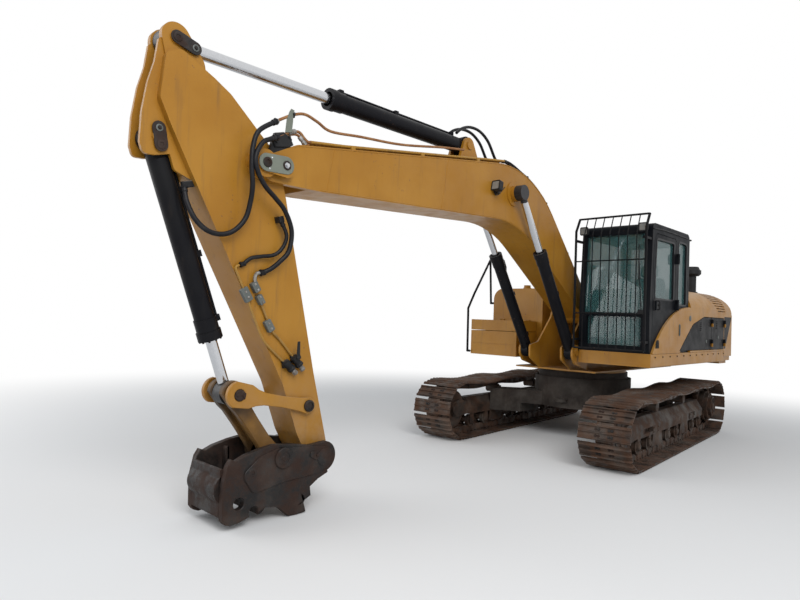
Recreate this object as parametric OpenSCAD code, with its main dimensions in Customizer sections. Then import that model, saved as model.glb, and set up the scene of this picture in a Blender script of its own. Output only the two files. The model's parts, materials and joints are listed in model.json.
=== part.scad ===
// Crawler excavator of the 23 tonne class, with a one-piece boom and a hydraulic quick coupler.
// X points forward along the boom, Y to the cab side and Z up. The ground is at Z = 0.

/* [Tracks] */
// Distance between the middles of the two tracks
track_gauge = 2380; // [2200:10:2590]
// Width of a track shoe
shoe_w = 600; // [500:50:700]
// Distance from the idler's axle to the sprocket's axle
wheel_base = 3630; // [3300:10:3900]
// Radius of the chain's pin line round the idler
idler_r = 322; // [300:2:330]
// Radius of the chain's pin line round the sprocket
sprocket_r = 334; // [315:2:345]
// Number of shoes in one track
shoe_n = 49; // [45:1:53]
// Height of the chain link below and above its pin line
link_h = 46; // [40:1:52]
// Thickness of a shoe's plate
shoe_t = 11; // [9:1:14]
// Height of a grouser bar on a shoe
grouser_h = 25; // [18:1:30]
// Sag of the chain between the rollers that carry it
chain_sag = 34; // [10:2:50]
// Angle of the tracks to the house, as parked
track_turn = 3.8; // [0:0.1:10]
// Radius of a bottom roller's tread
roller_r = 78; // [70:1:84]
// Number of bottom rollers in one track
roller_n = 8; // [7:1:9]
// Radius of a carrier roller
carrier_r = 66; // [58:1:72]

/* [Undercarriage] */
// Width of a track frame's beam
beam_w = 270; // [240:5:300]
// Height of the top of a track frame above the ground
beam_top = 540; // [520:5:560]
// Thickness of the plates of the frames
plate_t = 20; // [14:1:28]
// Height of the top of the carbody
carbody_top = 880; // [840:5:920]
// Outer radius of the swing bearing
bearing_r = 640; // [600:5:690]
// Height of the swing bearing
bearing_h = 118; // [100:2:140]

/* [House] */
// Distance from the swing axis to the middle of the machine's length
swing_back = 2010.9; // [1800:0.1:2200]
// Swing radius of the counterweight
tail_r = 2753; // [2600:5:2850]
// Height of the underside of the deck
deck_z = 1141; // [1100:1:1180]
// Height of the deck's skirt
skirt_h = 169; // [140:1:200]
// Distance from the swing axis to the front of the deck
deck_front = 990; // [900:5:1100]
// Half width of the deck
deck_y = 1400; // [1300:5:1400]
// Height of the top of the hood
hood_z = 2205; // [2100:5:2260]
// Wall thickness of the hood, doors and boxes
sheet_t = 30; // [20:1:40]
// Gap round a door, a lid or a cover
door_gap = 8; // [6:1:14]

/* [Cab] */
// Distance from the middle plane to the cab's inner side
cab_y0 = 430; // [420:2:460]
// Distance from the middle plane to the cab's outer side
cab_y1 = 1372; // [1340:2:1390]
// Height of the cab's roof
cab_top = 2962; // [2900:2:3000]
// Distance from the swing axis to the cab's rear wall
cab_rear = -396; // [-440:2:-380]
// Thickness of the cab's posts and walls
post_t = 60; // [50:1:80]
// Thickness of the cab's glass
glass_t = 6; // [5:1:10]

/* [Boom] */
// Boom length from foot pin to tip pin
boom_l = 5680; // [5400:10:5900]
// Angle of the boom as parked, pin to pin
boom_a = 10.5; // [5:0.5:20]
// Width of the boom's box
boom_w = 450; // [420:2:460]
// Distance from the swing axis to the foot pin
foot_x = 298; // [150:2:400]
// Height of the foot pin
foot_z = 1804; // [1750:2:1850]
// Radius of the large pins
pin_r = 45; // [38:1:50]
// Radial play of a pin in its bore
pin_play = 0.05; // [0.02:0.01:0.09]

/* [Stick] */
// Stick length from its pin on the boom to the coupler's pin
stick_l = 2495; // [2300:5:2700]
// Angle of the stick as parked, pin to pin, from level
stick_a = -106.2; // [-120:0.2:-90]
// Width of the stick
stick_w = 320; // [300:2:340]

/* [Cylinders] */
// Outer radius of a boom cylinder's barrel
boom_barrel_r = 74; // [66:1:80]
// Outer radius of the stick cylinder's barrel
stick_barrel_r = 84; // [76:1:92]
// Outer radius of the bucket cylinder's barrel
bucket_barrel_r = 80; // [70:1:88]
// Distance of a boom cylinder from the middle plane
boom_cyl_y = 336; // [330:1:345]
// Side play between moving pieces
side_gap = 6; // [5:0.5:12]

/* [Coupler] */
// Outer width of the quick coupler
coupler_w = 540; // [500:5:580]
// Thickness of the coupler's side plates
coupler_t = 60; // [50:1:70]
// Radius of the tool pin that the hooks take
tool_pin_r = 40; // [36:1:44]
// Distance between the two tool pins
tool_pin_gap = 430; // [400:5:460]

/* [Hidden] */
$fn = 48;

// Height of the pin line above the ground along the bottom run
pin_z = link_h + shoe_t + grouser_h;
idler_x = wheel_base / 2;
sprocket_x = -wheel_base / 2;
idler_z = pin_z + idler_r;
sprocket_z = pin_z + sprocket_r;
track_y = track_gauge / 2;
deck_top = deck_z + skirt_h;
seat_gap = 0.3;
// How far a boom cylinder's collar stands out of its barrel
collar_out = 12;

// Shared shapes

// A flat outline drawn in X and Z, made a plate from y0 to y1
module slab(y0, y1) {
    translate([0, y1, 0]) rotate([90, 0, 0]) linear_extrude(y1 - y0) children();
}

// The same plate on both sides of the middle plane
module slabs(y0, y1) {
    slab(y0, y1) children();
    slab(-y1, -y0) children();
}

// A round bar along Y
module bar_y(x, z, r, y0, y1) {
    translate([x, y1, z]) rotate([90, 0, 0]) cylinder(r = r, h = y1 - y0);
}

// A box between two corners
module block(x0, y0, z0, x1, y1, z1) {
    translate([x0, y0, z0]) cube([x1 - x0, y1 - y0, z1 - z0]);
}

// Flat outline of a link: two round ends and their common tangents
module link(p, rp, q, rq) {
    d = q - p;
    run = atan2(d[1], d[0]);
    half = acos((rp - rq) / norm(d));
    polygon([p + (rp - tuck) * dir(run + half), p + (rp - tuck) * dir(run - half),
             q + (rq - tuck) * dir(run - half), q + (rq - tuck) * dir(run + half)]);
    translate(p) circle(rp);
    translate(q) circle(rq);
}

// How far a straight side starts inside the circle that it leaves
tuck = 0.3;
function dir(a) = [cos(a), sin(a)];
function turned(p, a) = [p[0] * cos(a) - p[1] * sin(a), p[0] * sin(a) + p[1] * cos(a)];
function slope(p, q) = atan2(q[1] - p[1], q[0] - p[0]);

// Outline with rounded corners. Columns of a row: x, z, corner radius
function unit(v) = v / norm(v);
function corner(a, b, c, r, n) =
    let (u = unit(a - b), v = unit(c - b), half = acos(u * v) / 2,
         t = r / tan(half), m = b + unit(u + v) * r / sin(half),
         s = b + u * t - m, e = b + v * t - m,
         a0 = atan2(s[1], s[0]), da = atan2(s[0] * e[1] - s[1] * e[0], s * e))
    r == 0 ? [b] : [for (i = [0 : n]) m + r * dir(a0 + da * i / n)];
function flat(p) = [p[0], p[1]];
function rounded(rows, n = 6) = [for (i = [0 : len(rows) - 1])
    each corner(flat(rows[(i + len(rows) - 1) % len(rows)]), flat(rows[i]),
                flat(rows[(i + 1) % len(rows)]), rows[i][2], n)];

// The track: pins at even steps along the loop, each shoe on the chord between two pins

run_drop = 2 * (sprocket_r - idler_r);
half_turn_i = PI * idler_r;
half_turn_s = PI * sprocket_r;
loop_l = 2 * wheel_base + half_turn_i + half_turn_s;
shoe_pitch = loop_l / shoe_n;
carrier_x = [for (f = [1, 2]) idler_x - wheel_base * f / 3];

function top_z(t) = pin_z + 2 * idler_r + run_drop * t
    - chain_sag * (1 - cos(360 * 3 * t)) / 2;
function loop_point(s) =
    s < wheel_base ? [sprocket_x + s, pin_z] :
    s < wheel_base + half_turn_i ?
        [idler_x, idler_z] + idler_r * dir((s - wheel_base) / idler_r * 180 / PI - 90) :
    s < 2 * wheel_base + half_turn_i ?
        let (t = (s - wheel_base - half_turn_i) / wheel_base)
        [idler_x - wheel_base * t, top_z(t)] :
        [sprocket_x, sprocket_z]
            + sprocket_r * dir((s - 2 * wheel_base - half_turn_i) / sprocket_r * 180 / PI + 90);
function chain_pin(k) = loop_point(((k % shoe_n) + 0.5) * shoe_pitch);
// Height of the lower of the two top pins beside x
function rail_low(x) = min([for (k = [0 : shoe_n - 1])
    let (p = chain_pin(k)) if (p[1] > idler_z && abs(p[0] - x) < shoe_pitch) p[1]]);

// Profile of one shoe along its pitch. Columns: share of the pitch, height above the pin line
shoe_base = link_h;
shoe_face = link_h + shoe_t;
shoe_tip = shoe_face + grouser_h;
shoe_rows = [[0.00, shoe_face - 4], [0.04, shoe_face], [0.05, shoe_tip], [0.11, shoe_tip],
    [0.15, shoe_face], [0.42, shoe_face], [0.44, shoe_tip], [0.50, shoe_tip],
    [0.54, shoe_face], [0.80, shoe_face], [0.82, shoe_tip], [0.88, shoe_tip],
    [0.92, shoe_face]];
function chain_place(k, along, up) =
    let (p = chain_pin(k), q = chain_pin(k + 1), u = unit(q - p))
    p + (q - p) * along + [u[1], -u[0]] * up;
track_out = [for (k = [0 : shoe_n - 1], r = shoe_rows) chain_place(k, r[0], r[1])];
// Offset of the pins' polygon, mitred at every pin
function ring_line(up) = [for (k = [0 : shoe_n - 1])
    let (p = chain_pin(k + 1), u = unit(p - chain_pin(k)), v = unit(chain_pin(k + 2) - p),
         m = unit(u + v))
    p + [m[1], -m[0]] * up / (m * u)];

module chain_ring(outer, inner) {
    difference() {
        polygon(outer);
        polygon(inner);
    }
}

link_y0 = 46;
link_y1 = 96;

module track_loop() {
    slab(-shoe_w / 2, shoe_w / 2) chain_ring(track_out, ring_line(shoe_base));
    slabs(link_y0, link_y1) chain_ring(ring_line(shoe_base), ring_line(-link_h));
}

// Stands a left undercarriage piece on its own side, turned with the tracks
module on_side(side) {
    translate([-swing_back, 0, 0]) rotate(track_turn) translate([0, side * track_y, 0])
        mirror([0, side < 0 ? 1 : 0, 0]) children();
}

module in_house() {
    translate([-swing_back, 0, 0]) children();
}

module track_shape() {
    color([0.36, 0.29, 0.24]) track_loop();
}

// Idler: two treads that run on the links and a flange between them
idler_tread = idler_r * cos(90 * shoe_pitch / PI / idler_r) - link_h - seat_gap;
module idler_shape() {
    color([0.30, 0.25, 0.22]) {
        bar_y(idler_x, idler_z, idler_tread, -link_y1, link_y1);
        bar_y(idler_x, idler_z, idler_tread + 22, -link_y0 + 4, link_y0 - 4);
        bar_y(idler_x, idler_z, 150, -yoke_in + seat_gap, yoke_in - seat_gap);
    }
}

// Sprocket with its teeth between the links, and the final drive that carries it
tooth_n = 21;
tooth_base = sprocket_r - link_h - 4;
tooth_tip = sprocket_r + 6;
function tooth(k) = [for (w = [[-0.30, 0], [-0.12, 1], [0.12, 1], [0.30, 0]])
    [sprocket_x, sprocket_z] + (w[1] == 1 ? tooth_tip : tooth_base)
        * dir((k + w[0]) * 360 / tooth_n)];
motor_r = 190;
drive_y1 = 205;
module sprocket_shape() {
    color([0.34, 0.28, 0.23]) {
        slab(-link_y0 + 12, link_y0 - 12)
            polygon([for (k = [0 : tooth_n - 1]) each tooth(k)]);
        bar_y(sprocket_x, sprocket_z, 232, -beam_w / 2 + plate_t, 110);
        bar_y(sprocket_x, sprocket_z, 205, 110, 165);
        bar_y(sprocket_x, sprocket_z, 150, 165, drive_y1);
        bar_y(sprocket_x, sprocket_z, motor_r, -beam_w / 2 - 180, -beam_w / 2 + plate_t);
    }
}

// Track frame: a roof-shaped beam, the idler's yoke in front and the drive's plate behind
roller_flange = 14;
roller_play = 8;
beam_low = pin_z + link_h + 2 * roller_r + roller_flange + roller_play;
beam_x0 = sprocket_x + tooth_tip + roller_play;
beam_x1 = idler_x - 360;
yoke_in = 104;
yoke_t = 34;
module beam_section() {
    translate([beam_x1, 0, 0]) rotate([90, 0, -90]) linear_extrude(beam_x1 - beam_x0)
        polygon([[-beam_w / 2, beam_low], [beam_w / 2, beam_low], [beam_w / 2, beam_top - 130],
            [beam_w / 2 - 80, beam_top], [-beam_w / 2 + 80, beam_top],
            [-beam_w / 2, beam_top - 130]]);
}
module track_frame_shape() {
    color([0.33, 0.27, 0.22]) {
        difference() {
            beam_section();
            for (x = [beam_x0 + 420, beam_x1 - 560])
                block(x, beam_w / 2 - 60, beam_low + 40, x + 330, beam_w, beam_low + 100);
        }
        // Yoke: two plates that reach from the beam to the idler's axle
        slabs(yoke_in, yoke_in + yoke_t) difference() {
            polygon(rounded([[beam_x1 - 10, beam_low + 20, 0], [idler_x - 60, idler_z - 110, 60],
                [idler_x + 60, idler_z - 90, 60], [idler_x + 70, idler_z + 90, 70],
                [idler_x - 100, idler_z + 130, 60], [beam_x1 - 10, beam_top - 60, 0]]));
            translate([idler_x, idler_z]) circle(60);
        }
        slabs(yoke_in + yoke_t, yoke_in + yoke_t + 22)
            translate([idler_x, idler_z]) circle(78);
        slabs(yoke_in, yoke_in + yoke_t) translate([idler_x, idler_z]) circle(60);
        // Plate that carries the final drive
        slab(-beam_w / 2, -beam_w / 2 + plate_t) difference() {
            polygon(rounded([[beam_x0 + 10, beam_low, 0], [beam_x0 + 10, beam_top - 130, 0],
                [sprocket_x + 60, sprocket_z + 240, 120], [sprocket_x - 210, sprocket_z + 150, 120],
                [sprocket_x - 210, sprocket_z - 150, 120], [sprocket_x + 60, sprocket_z - 210, 120]]));
            translate([sprocket_x, sprocket_z]) circle(motor_r + seat_gap);
        }
        // Guards beside the bottom rollers
        for (x = [-700, 500])
            slabs(beam_w / 2 - 9, beam_w / 2 - 1)
                polygon([[x, pin_z + 70], [x + 420, pin_z + 70], [x + 380, beam_low],
                    [x + 40, beam_low]]);
    }
}

// Height of the beam's roof at a distance from its middle
function roof_z(y) = beam_top - 130 * (y - beam_w / 2 + 80) / 80;

// Rollers: the bottom ones between their brackets, and two that carry the top run
roller_z = pin_z + link_h + seat_gap + roller_r;
roller_span = wheel_base - 900;
module roller(x, z, r, y) {
    bar_y(x, z, r, y - 24, y + 24);
}
module rollers_shape() {
    color([0.27, 0.22, 0.19]) {
        for (k = [0 : roller_n - 1]) {
            x = -roller_span / 2 + roller_span * k / (roller_n - 1);
            for (y = [-72, 72]) {
                bar_y(x, roller_z, roller_r, y - 25, y + 25);
                bar_y(x, roller_z, roller_r + roller_flange, y < 0 ? y - 34 : y + 26, y < 0 ? y - 26 : y + 34);
            }
            bar_y(x, roller_z, 46, -124, 124);
            for (y = [-124, 110])
                block(x - 46, y, roller_z - 40, x + 46, y + 14, beam_low - seat_gap);
        }
        for (x = carrier_x) {
            z = rail_low(x) - link_h - seat_gap - carrier_r;
            bar_y(x, z, carrier_r, -92, 92);
            bar_y(x, z, 34, -124, 92);
            block(x - 40, -124, roof_z(100) + seat_gap, x + 40, -100, z + 40);
        }
    }
}

// Carbody: the box under the bearing and four legs down to the track frames
leg_z0 = 320;
leg_z1 = 640;
leg_in = 560;
leg_x = 900;
leg_y = track_y - beam_w / 2 - seat_gap;
module carbody_shape() {
    color([0.24, 0.20, 0.18]) translate([-swing_back, 0, 0]) rotate(track_turn) {
        difference() {
            union() {
                translate([0, 0, leg_z0]) linear_extrude(leg_z1 - leg_z0) polygon(concat(
                    [[leg_in, -300], [leg_in, 300], [leg_x, leg_y], [leg_x - 330, leg_y],
                     [300, 640], [-300, 640], [-leg_x + 330, leg_y], [-leg_x, leg_y],
                     [-leg_in, 300]], [[-leg_in, -300], [-leg_x, -leg_y],
                     [-leg_x + 330, -leg_y], [-300, -640], [300, -640], [leg_x - 330, -leg_y],
                     [leg_x, -leg_y]]));
                translate([0, 0, 450]) cylinder(r = carbody_r, h = carbody_top - 450);
            }
            translate([0, 0, 440]) cylinder(r = 420, h = 500);
            translate([-2000, -640, leg_z0 - 1]) cube([4000, 1280, 450 - leg_z0 + 1]);
        }
        for (sx = [-1, 1]) difference() {
            translate([sx * (carbody_r + 10), 0, tie_z])
                cylinder(r = 85, h = plate_t * 2, center = true);
            translate([sx * tie_x, 0, tie_z])
                cylinder(r = tie_r, h = plate_t * 3, center = true);
        }
    }
}
carbody_r = 690;
tie_r = 30;
tie_x = carbody_r + 38;
tie_z = 560;

// Swing bearing: the ring bolted to the carbody
ring_bore = 500;
ring_z0 = carbody_top + seat_gap;
ring_z1 = carbody_top + bearing_h - 30;
module swing_bearing_shape() {
    color([0.20, 0.18, 0.17]) difference() {
        translate([-swing_back, 0, ring_z0]) cylinder(r = bearing_r, h = ring_z1 - ring_z0);
        translate([-swing_back, 0, ring_z0 - 10]) cylinder(r = ring_bore, h = bearing_h);
    }
}

// Upper frame: bottom plate with the bearing's spigot, the two towers that carry the boom
tower_y0 = boom_w / 2 + side_gap;
tower_y1 = tower_y0 + 26;
frame_z = carbody_top + bearing_h;
cheek_in = 56;
cheek_out = 82;
base_x = 1020;
base_z = 1264;
tower_low = 1320;
tower_rows = [[-1900, frame_z + plate_t, 0], [860, frame_z + plate_t, 60], [1110, 1160, 60],
    [1120, 1340, 50], [900, 1380, 120], [foot_x + 260, foot_z - 60, 60],
    [foot_x + 170, foot_z + 170, 150], [foot_x - 170, foot_z + 170, 150],
    [foot_x - 320, foot_z - 200, 200], [-1100, tower_low, 300], [-1900, tower_low, 0]];
module upper_frame_shape() {
    color([0.86, 0.60, 0.16]) in_house() {
        difference() {
            union() {
                translate([-1900, -620, frame_z]) cube([2760, 1240, plate_t]);
                translate([0, 0, ring_z1 + seat_gap])
                    cylinder(r = bearing_r - 20, h = frame_z - ring_z1 - seat_gap);
                translate([0, 0, ring_z1 - 40])
                    cylinder(r = ring_bore - pin_play, h = frame_z - ring_z1 + 40);
            }
            translate([0, 0, ring_z1 - 60]) cylinder(r = 300, h = 200);
        }
        slabs(tower_y0, tower_y1) polygon(rounded(tower_rows));
        // Cheeks of the boom cylinders' lower pins
        slabs(boom_cyl_y + cheek_in, boom_cyl_y + cheek_out) polygon(rounded([[base_x - 330, frame_z + plate_t, 0],
            [base_x + 20, 1110, 60], [base_x + 100, base_z - 60, 90],
            [base_x + 100, base_z + 100, 95], [base_x - 100, base_z + 100, 95],
            [base_x - 330, 1200, 60]]));
        bar_y(base_x, base_z, pin_r, tower_y0, boom_cyl_y + cheek_out + 16);
        bar_y(base_x, base_z, pin_r, -boom_cyl_y - cheek_out - 16, -tower_y0);
        bar_y(foot_x, foot_z, pin_r, -tower_y1 - 24, tower_y1 + 24);
        for (s = [-1, 1])
            bar_y(foot_x, foot_z, 88, s * (tower_y1 + 8) - 10, s * (tower_y1 + 8) + 10);
        // Cross beams that carry the deck
        for (x = [-1500, -700, 300]) for (s = [-1, 1])
            block(x, s > 0 ? tower_y1 : -deck_y + 60, deck_z + 20, x + 120,
                s > 0 ? deck_y - 60 : -tower_y1, deck_top - 40);
    }
}

// Deck: the tread plates on both sides with their rounded skirts
skirt_in = deck_y - 60;
module deck_side(x0, x1, s) {
    mirror([0, s < 0 ? 1 : 0, 0]) {
        block(x0, tower_y1 + 190, deck_top - 36, x1, skirt_in, deck_top);
        translate([x1, 0, 0]) rotate([90, 0, -90]) linear_extrude(x1 - x0)
            polygon(rounded([[-skirt_in, deck_z, 0], [-skirt_in, deck_top, 0],
                [-deck_y, deck_top, 14], [-deck_y, deck_z, 14]], 4));
    }
}
module deck_shape() {
    color([0.86, 0.60, 0.16]) in_house() {
        deck_side(-1960, deck_front, 1);
        block(deck_front - 40, boom_cyl_y + cheek_out + 20, deck_z, deck_front, skirt_in, deck_top - 36);
        deck_side(-1960, 440, -1);
    }
}

// Counterweight: a block inside the tail's swing circle, with a lip over the deck
cw_x = -1972;
cw_z0 = 1100;
cw_top = 1930;
// Slanted front face of its upper half, from low to high
cw_low = [-2042, 1340];
cw_high = [-2377, 1887];
eye_x = -2540;
eye_y = [-700, 700];
module tail_plan(inset) {
    intersection() {
        circle(tail_r - inset, $fn = 96);
        translate([-tail_r, -deck_y + inset]) square([tail_r + cw_x, 2 * (deck_y - inset)]);
    }
}
module counterweight_shape() {
    color([0.86, 0.60, 0.16]) in_house() difference() {
        union() {
            translate([0, 0, cw_z0 + 120]) linear_extrude(cw_top - 130 - cw_z0) tail_plan(0);
            translate([0, 0, cw_z0 + 50]) linear_extrude(80) tail_plan(24);
            translate([0, 0, cw_z0]) linear_extrude(60) tail_plan(70);
            translate([0, 0, cw_top - 20]) linear_extrude(20) tail_plan(30);
        }
        slab(-deck_y - 1, deck_y + 1) polygon([[cw_x + 1, cw_low[1]], cw_low, cw_high,
            [cw_high[0], cw_top + 1], [cw_x + 1, cw_top + 1]]);
        for (y = eye_y) translate([eye_x, y, cw_top - 90]) cylinder(r = 75, h = 200);
        block(-tail_r - 10, -260, 1330, -tail_r + 60, 260, 1480);
    }
    color([0.2, 0.2, 0.2]) in_house() for (y = eye_y)
        translate([eye_x, y, cw_top - 50]) rotate([90, 0, 0])
            rotate_extrude() translate([52, 0]) circle(13);
}

// Engine: one block between the hood and the deck
module engine_block_shape() {
    color([0.35, 0.35, 0.33]) in_house() {
        block(-1820, -520, deck_top + 60, -1130, 720, hood_z - 190);
        for (x = [-1700, -1250], s = [-1, 1])
            block(x - 60, s > 0 ? tower_y0 : -tower_y1, tower_low + seat_gap, x + 60,
                s > 0 ? tower_y1 : -tower_y0, deck_top + 60);
    }
}

// Hood: the rounded shell over the engine, open on top and at the sides for its covers
hood_x0 = cw_x + seat_gap;
hood_x1 = cab_rear - 24;
door_z0 = deck_top + 30;
door_z1 = 1817;
door_end = cw_x + 12;
split_x = -1334;
lid_x0 = -1900;
lid_x1 = -960;
lid_y = 800;
hood_round = 300;
hood_end = -2351;
hood_sill = door_z1 + 28;
module hood_section(d) {
    polygon(rounded([[-deck_y + d, deck_top - d, 0], [deck_y - d, deck_top - d, 0],
        [deck_y - d, hood_z - d, hood_round - d], [-deck_y + d, hood_z - d, hood_round - d]], 10));
}
// Side view of the hood: flat on top, falling in a bow over the counterweight
module hood_side(d) {
    polygon([[hood_x1 - d, deck_top - d], [hood_x1 - d, hood_z - d], [-1890, hood_z - d],
        [-1990 + d / 9, hood_z - 30 - d], [-2130 + d / 3, hood_z - 76 - d],
        [-2240 + d / 2, hood_z - 138 - d], [-2315 + d, hood_z - 212 - d / 2],
        [hood_end + d, hood_z - 290], [hood_end + d, hood_sill - d], [hood_x0 - d, hood_sill - d],
        [hood_x0 - d, deck_top - d]]);
}
module hood_shell(d) {
    intersection() {
        translate([hood_x1, 0, 0]) rotate([90, 0, -90])
            linear_extrude(hood_x1 - hood_end) hood_section(d);
        slab(-deck_y, deck_y) hood_side(d);
    }
}
// Louvres wrapped round the hood's rear corners: angle up the corner and front end of each slot
louvre_x = -2006;
louvre_h = 13;
louvre_n = 11;
function louvre_x0(a) = -1676 + 424 * sin(a);
module louvres(side) {
    mirror([0, side < 0 ? 1 : 0, 0]) for (k = [0 : louvre_n - 1]) {
        a = 4 + 8 * k;
        translate([0, deck_y - hood_round, hood_z - hood_round]) rotate([a, 0, 0])
            block(louvre_x, hood_round - sheet_t - 8, -louvre_h / 2, louvre_x0(a), hood_round + 9,
                louvre_h / 2);
    }
}
// Outline of the black doors: a quarter bow in front, straight behind. Columns: x, z, radius
front_bow = [[split_x, door_z0, 0], [-20, door_z0, 0], [-150, 1440, 60], [-520, 1700, 300],
    [-1000, door_z1, 200], [split_x, door_z1, 0]];
module hood_shape() {
    color([0.86, 0.60, 0.16]) in_house() difference() {
        hood_shell(0);
        hood_shell(sheet_t);
        for (s = [-1, 1]) louvres(s);
        block(lid_x0, -lid_y, hood_z - 200, lid_x1, lid_y, hood_z + 10);
        slab(deck_y - 60, deck_y + 10) offset(delta = door_gap) polygon(rounded(front_bow));
        block(door_end, deck_y - 60, door_z0 - door_gap, split_x, deck_y + 10, door_z1 + door_gap);
        block(pump_x0 - door_gap, -deck_y - 10, door_z0 - door_gap, pump_x1 + door_gap,
            -deck_y + 60, door_z1 + door_gap);
        block(hood_x1 - 40, -420, deck_top - 1, hood_x1 + 10, deck_y - 200, hood_z - 260);
    }
    color([0.08, 0.08, 0.09]) in_house() {
        // Post behind the joint of the two left doors, and the fixed knuckles of their hinges
        block(split_x - 30, deck_y - 70, deck_top, split_x + 30, deck_y - door_t - 6, door_z1 + 60);
        for (z = hinge_z) {
            fixed_knuckle(split_x - 5, split_x + 5, split_x + door_gap, 1, 50, z);
            fixed_knuckle(hood_x0 + 2, door_end - 4, door_end + door_gap, 1, 10, z);
            fixed_knuckle(pump_x0 - 34, pump_x0 - 12, pump_x0 + 6, -1, 10, z);
        }
    }
}
// Knuckle that stays on the hood under a door's own: a leaf into the skin and the barrel
module fixed_knuckle(x0, x1, axis_x, side, depth, z) {
    y0 = side * (deck_y - depth);
    y1 = side * (deck_y + hinge_out);
    block(x0, min(y0, y1), z - 50, x1, max(y0, y1), z - seat_gap);
    block(min(x0, axis_x), min(y1 - side * 5, y1), z - 50, max(x0, axis_x),
        max(y1 - side * 5, y1), z - seat_gap);
    translate([axis_x, y1, z - 50]) cylinder(r = 10, h = 50 - seat_gap);
}

// Black corners between the rear doors and the counterweight's slanted face
module rear_corners_shape() {
    low = cw_low + [seat_gap, 0];
    color([0.08, 0.08, 0.09]) in_house() slabs(deck_y - door_t, deck_y)
        polygon([[hood_x0 - seat_gap, low[1]], low,
            low + (cw_high - cw_low) * (hood_sill - seat_gap - low[1]) / (cw_high[1] - cw_low[1]),
            [hood_x0 - seat_gap, hood_sill - seat_gap]]);
}

// Yellow panel below the cab's door, between the two bows
bow_mid = [-386, 218];
bow_r = 1720;
// Height of the upper bow at x
function bow(x) = bow_mid[1] + sqrt(bow_r * bow_r - (x - bow_mid[0]) * (x - bow_mid[0]));
function bow_run(x0, x1, n) = [for (i = [0 : n]) let (x = x0 + (x1 - x0) * i / n) [x, bow(x)]];
panel_x1 = 930;
module side_panel_left_shape() {
    color([0.86, 0.60, 0.16]) in_house() slab(cab_y1 + seat_gap, deck_y) difference() {
        polygon(concat([[panel_x1, deck_top + seat_gap]], bow_run(panel_x1, hood_x1 + seat_gap, 16),
            [[hood_x1 + seat_gap, deck_top + seat_gap]]));
        offset(delta = door_gap) polygon(rounded(front_bow));
        translate([hood_x1 - 1, deck_top - 1])
            square([380 + door_gap, door_z0 - deck_top + door_gap]);
    }
}

pump_x0 = -1850;
pump_x1 = -820;
module hood_lid_shape() {
    color([0.86, 0.60, 0.16]) in_house() {
        difference() {
            block(lid_x0 + door_gap, -lid_y + door_gap, hood_z - sheet_t, lid_x1 - door_gap,
                lid_y - door_gap, hood_z + 24);
            for (k = [0 : 9])
                block(lid_x0 + 120 + k * 76, -520, hood_z - 60, lid_x0 + 156 + k * 76, 520,
                    hood_z + 60);
        }
        for (y = [-560, 560])
        {
            bar_y(lid_x1 + 20, hood_z + 12 + seat_gap, 12, y - 60, y + 60);
            block(lid_x1 - door_gap - 6, y - 60, hood_z + 2, lid_x1 + 20, y + 60, hood_z + 24);
        }
    }
}

// Service doors on the left and the pump's door on the right
door_t = 24;
hinge_out = 22;
hinge_z = [door_z0 + 90, door_z0 + 390];
module door_knuckle(x, side, z) {
    translate([x, side * (deck_y + hinge_out), z]) cylinder(r = 10, h = 60);
    block(x, side > 0 ? deck_y - 4 : -deck_y - hinge_out, z, x + 12,
        side > 0 ? deck_y + hinge_out : -deck_y + 4, z + 60);
}
module side_door_front_shape() {
    color([0.08, 0.08, 0.09]) in_house() difference() {
        union() {
            slab(deck_y - door_t, deck_y) difference() {
                polygon(rounded(front_bow));
                translate([split_x - 1, door_z0 - 1]) square([door_gap + 1, 600]);
            }
            for (z = hinge_z) door_knuckle(split_x + door_gap, 1, z);
        }
        for (k = [0 : 4])
            block(-880, deck_y - 12, 1620 + k * 26, -700, deck_y + 1, 1632 + k * 26);
    }
}
module side_door_rear_shape() {
    color([0.08, 0.08, 0.09]) in_house() difference() {
        union() {
            block(door_end + door_gap, deck_y - door_t, door_z0, split_x - door_gap, deck_y, door_z1);
            for (z = hinge_z) door_knuckle(door_end + door_gap, 1, z);
        }
        for (k = [0 : 4])
            block(-1620, deck_y - 12, 1650 + k * 26, -1440, deck_y + 1, 1662 + k * 26);
    }
}
module pump_door_shape() {
    color([0.08, 0.08, 0.09]) in_house() {
        block(pump_x0, -deck_y, door_z0, pump_x1, -deck_y + door_t, door_z1);
        for (z = hinge_z) door_knuckle(pump_x0 + 6, -1, z);
    }
}

// Fuel tank with its rounded outer edge, filler cap on top
tank_x0 = hood_x1 + seat_gap;
tank_x1 = 450;
tank_y0 = -1340;
tank_y1 = -tower_y1 - 190;
tank_z = 2175;
module fuel_tank_shape() {
    color([0.86, 0.60, 0.16]) in_house() {
        translate([tank_x1, 0, 0]) rotate([90, 0, -90]) linear_extrude(tank_x1 - tank_x0)
            polygon(rounded([[-tank_y0, deck_top + seat_gap, 0], [-tank_y1, deck_top + seat_gap, 0],
                [-tank_y1, tank_z, 60], [-tank_y0, tank_z, 170]], 6));
    }
    color([0.05, 0.05, 0.05]) in_house() translate([tank_x1 - 220, -860, tank_z]) {
        cylinder(r = 62, h = 24);
        translate([0, 0, 24]) cylinder(r = 52, h = 38);
    }
}

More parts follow.
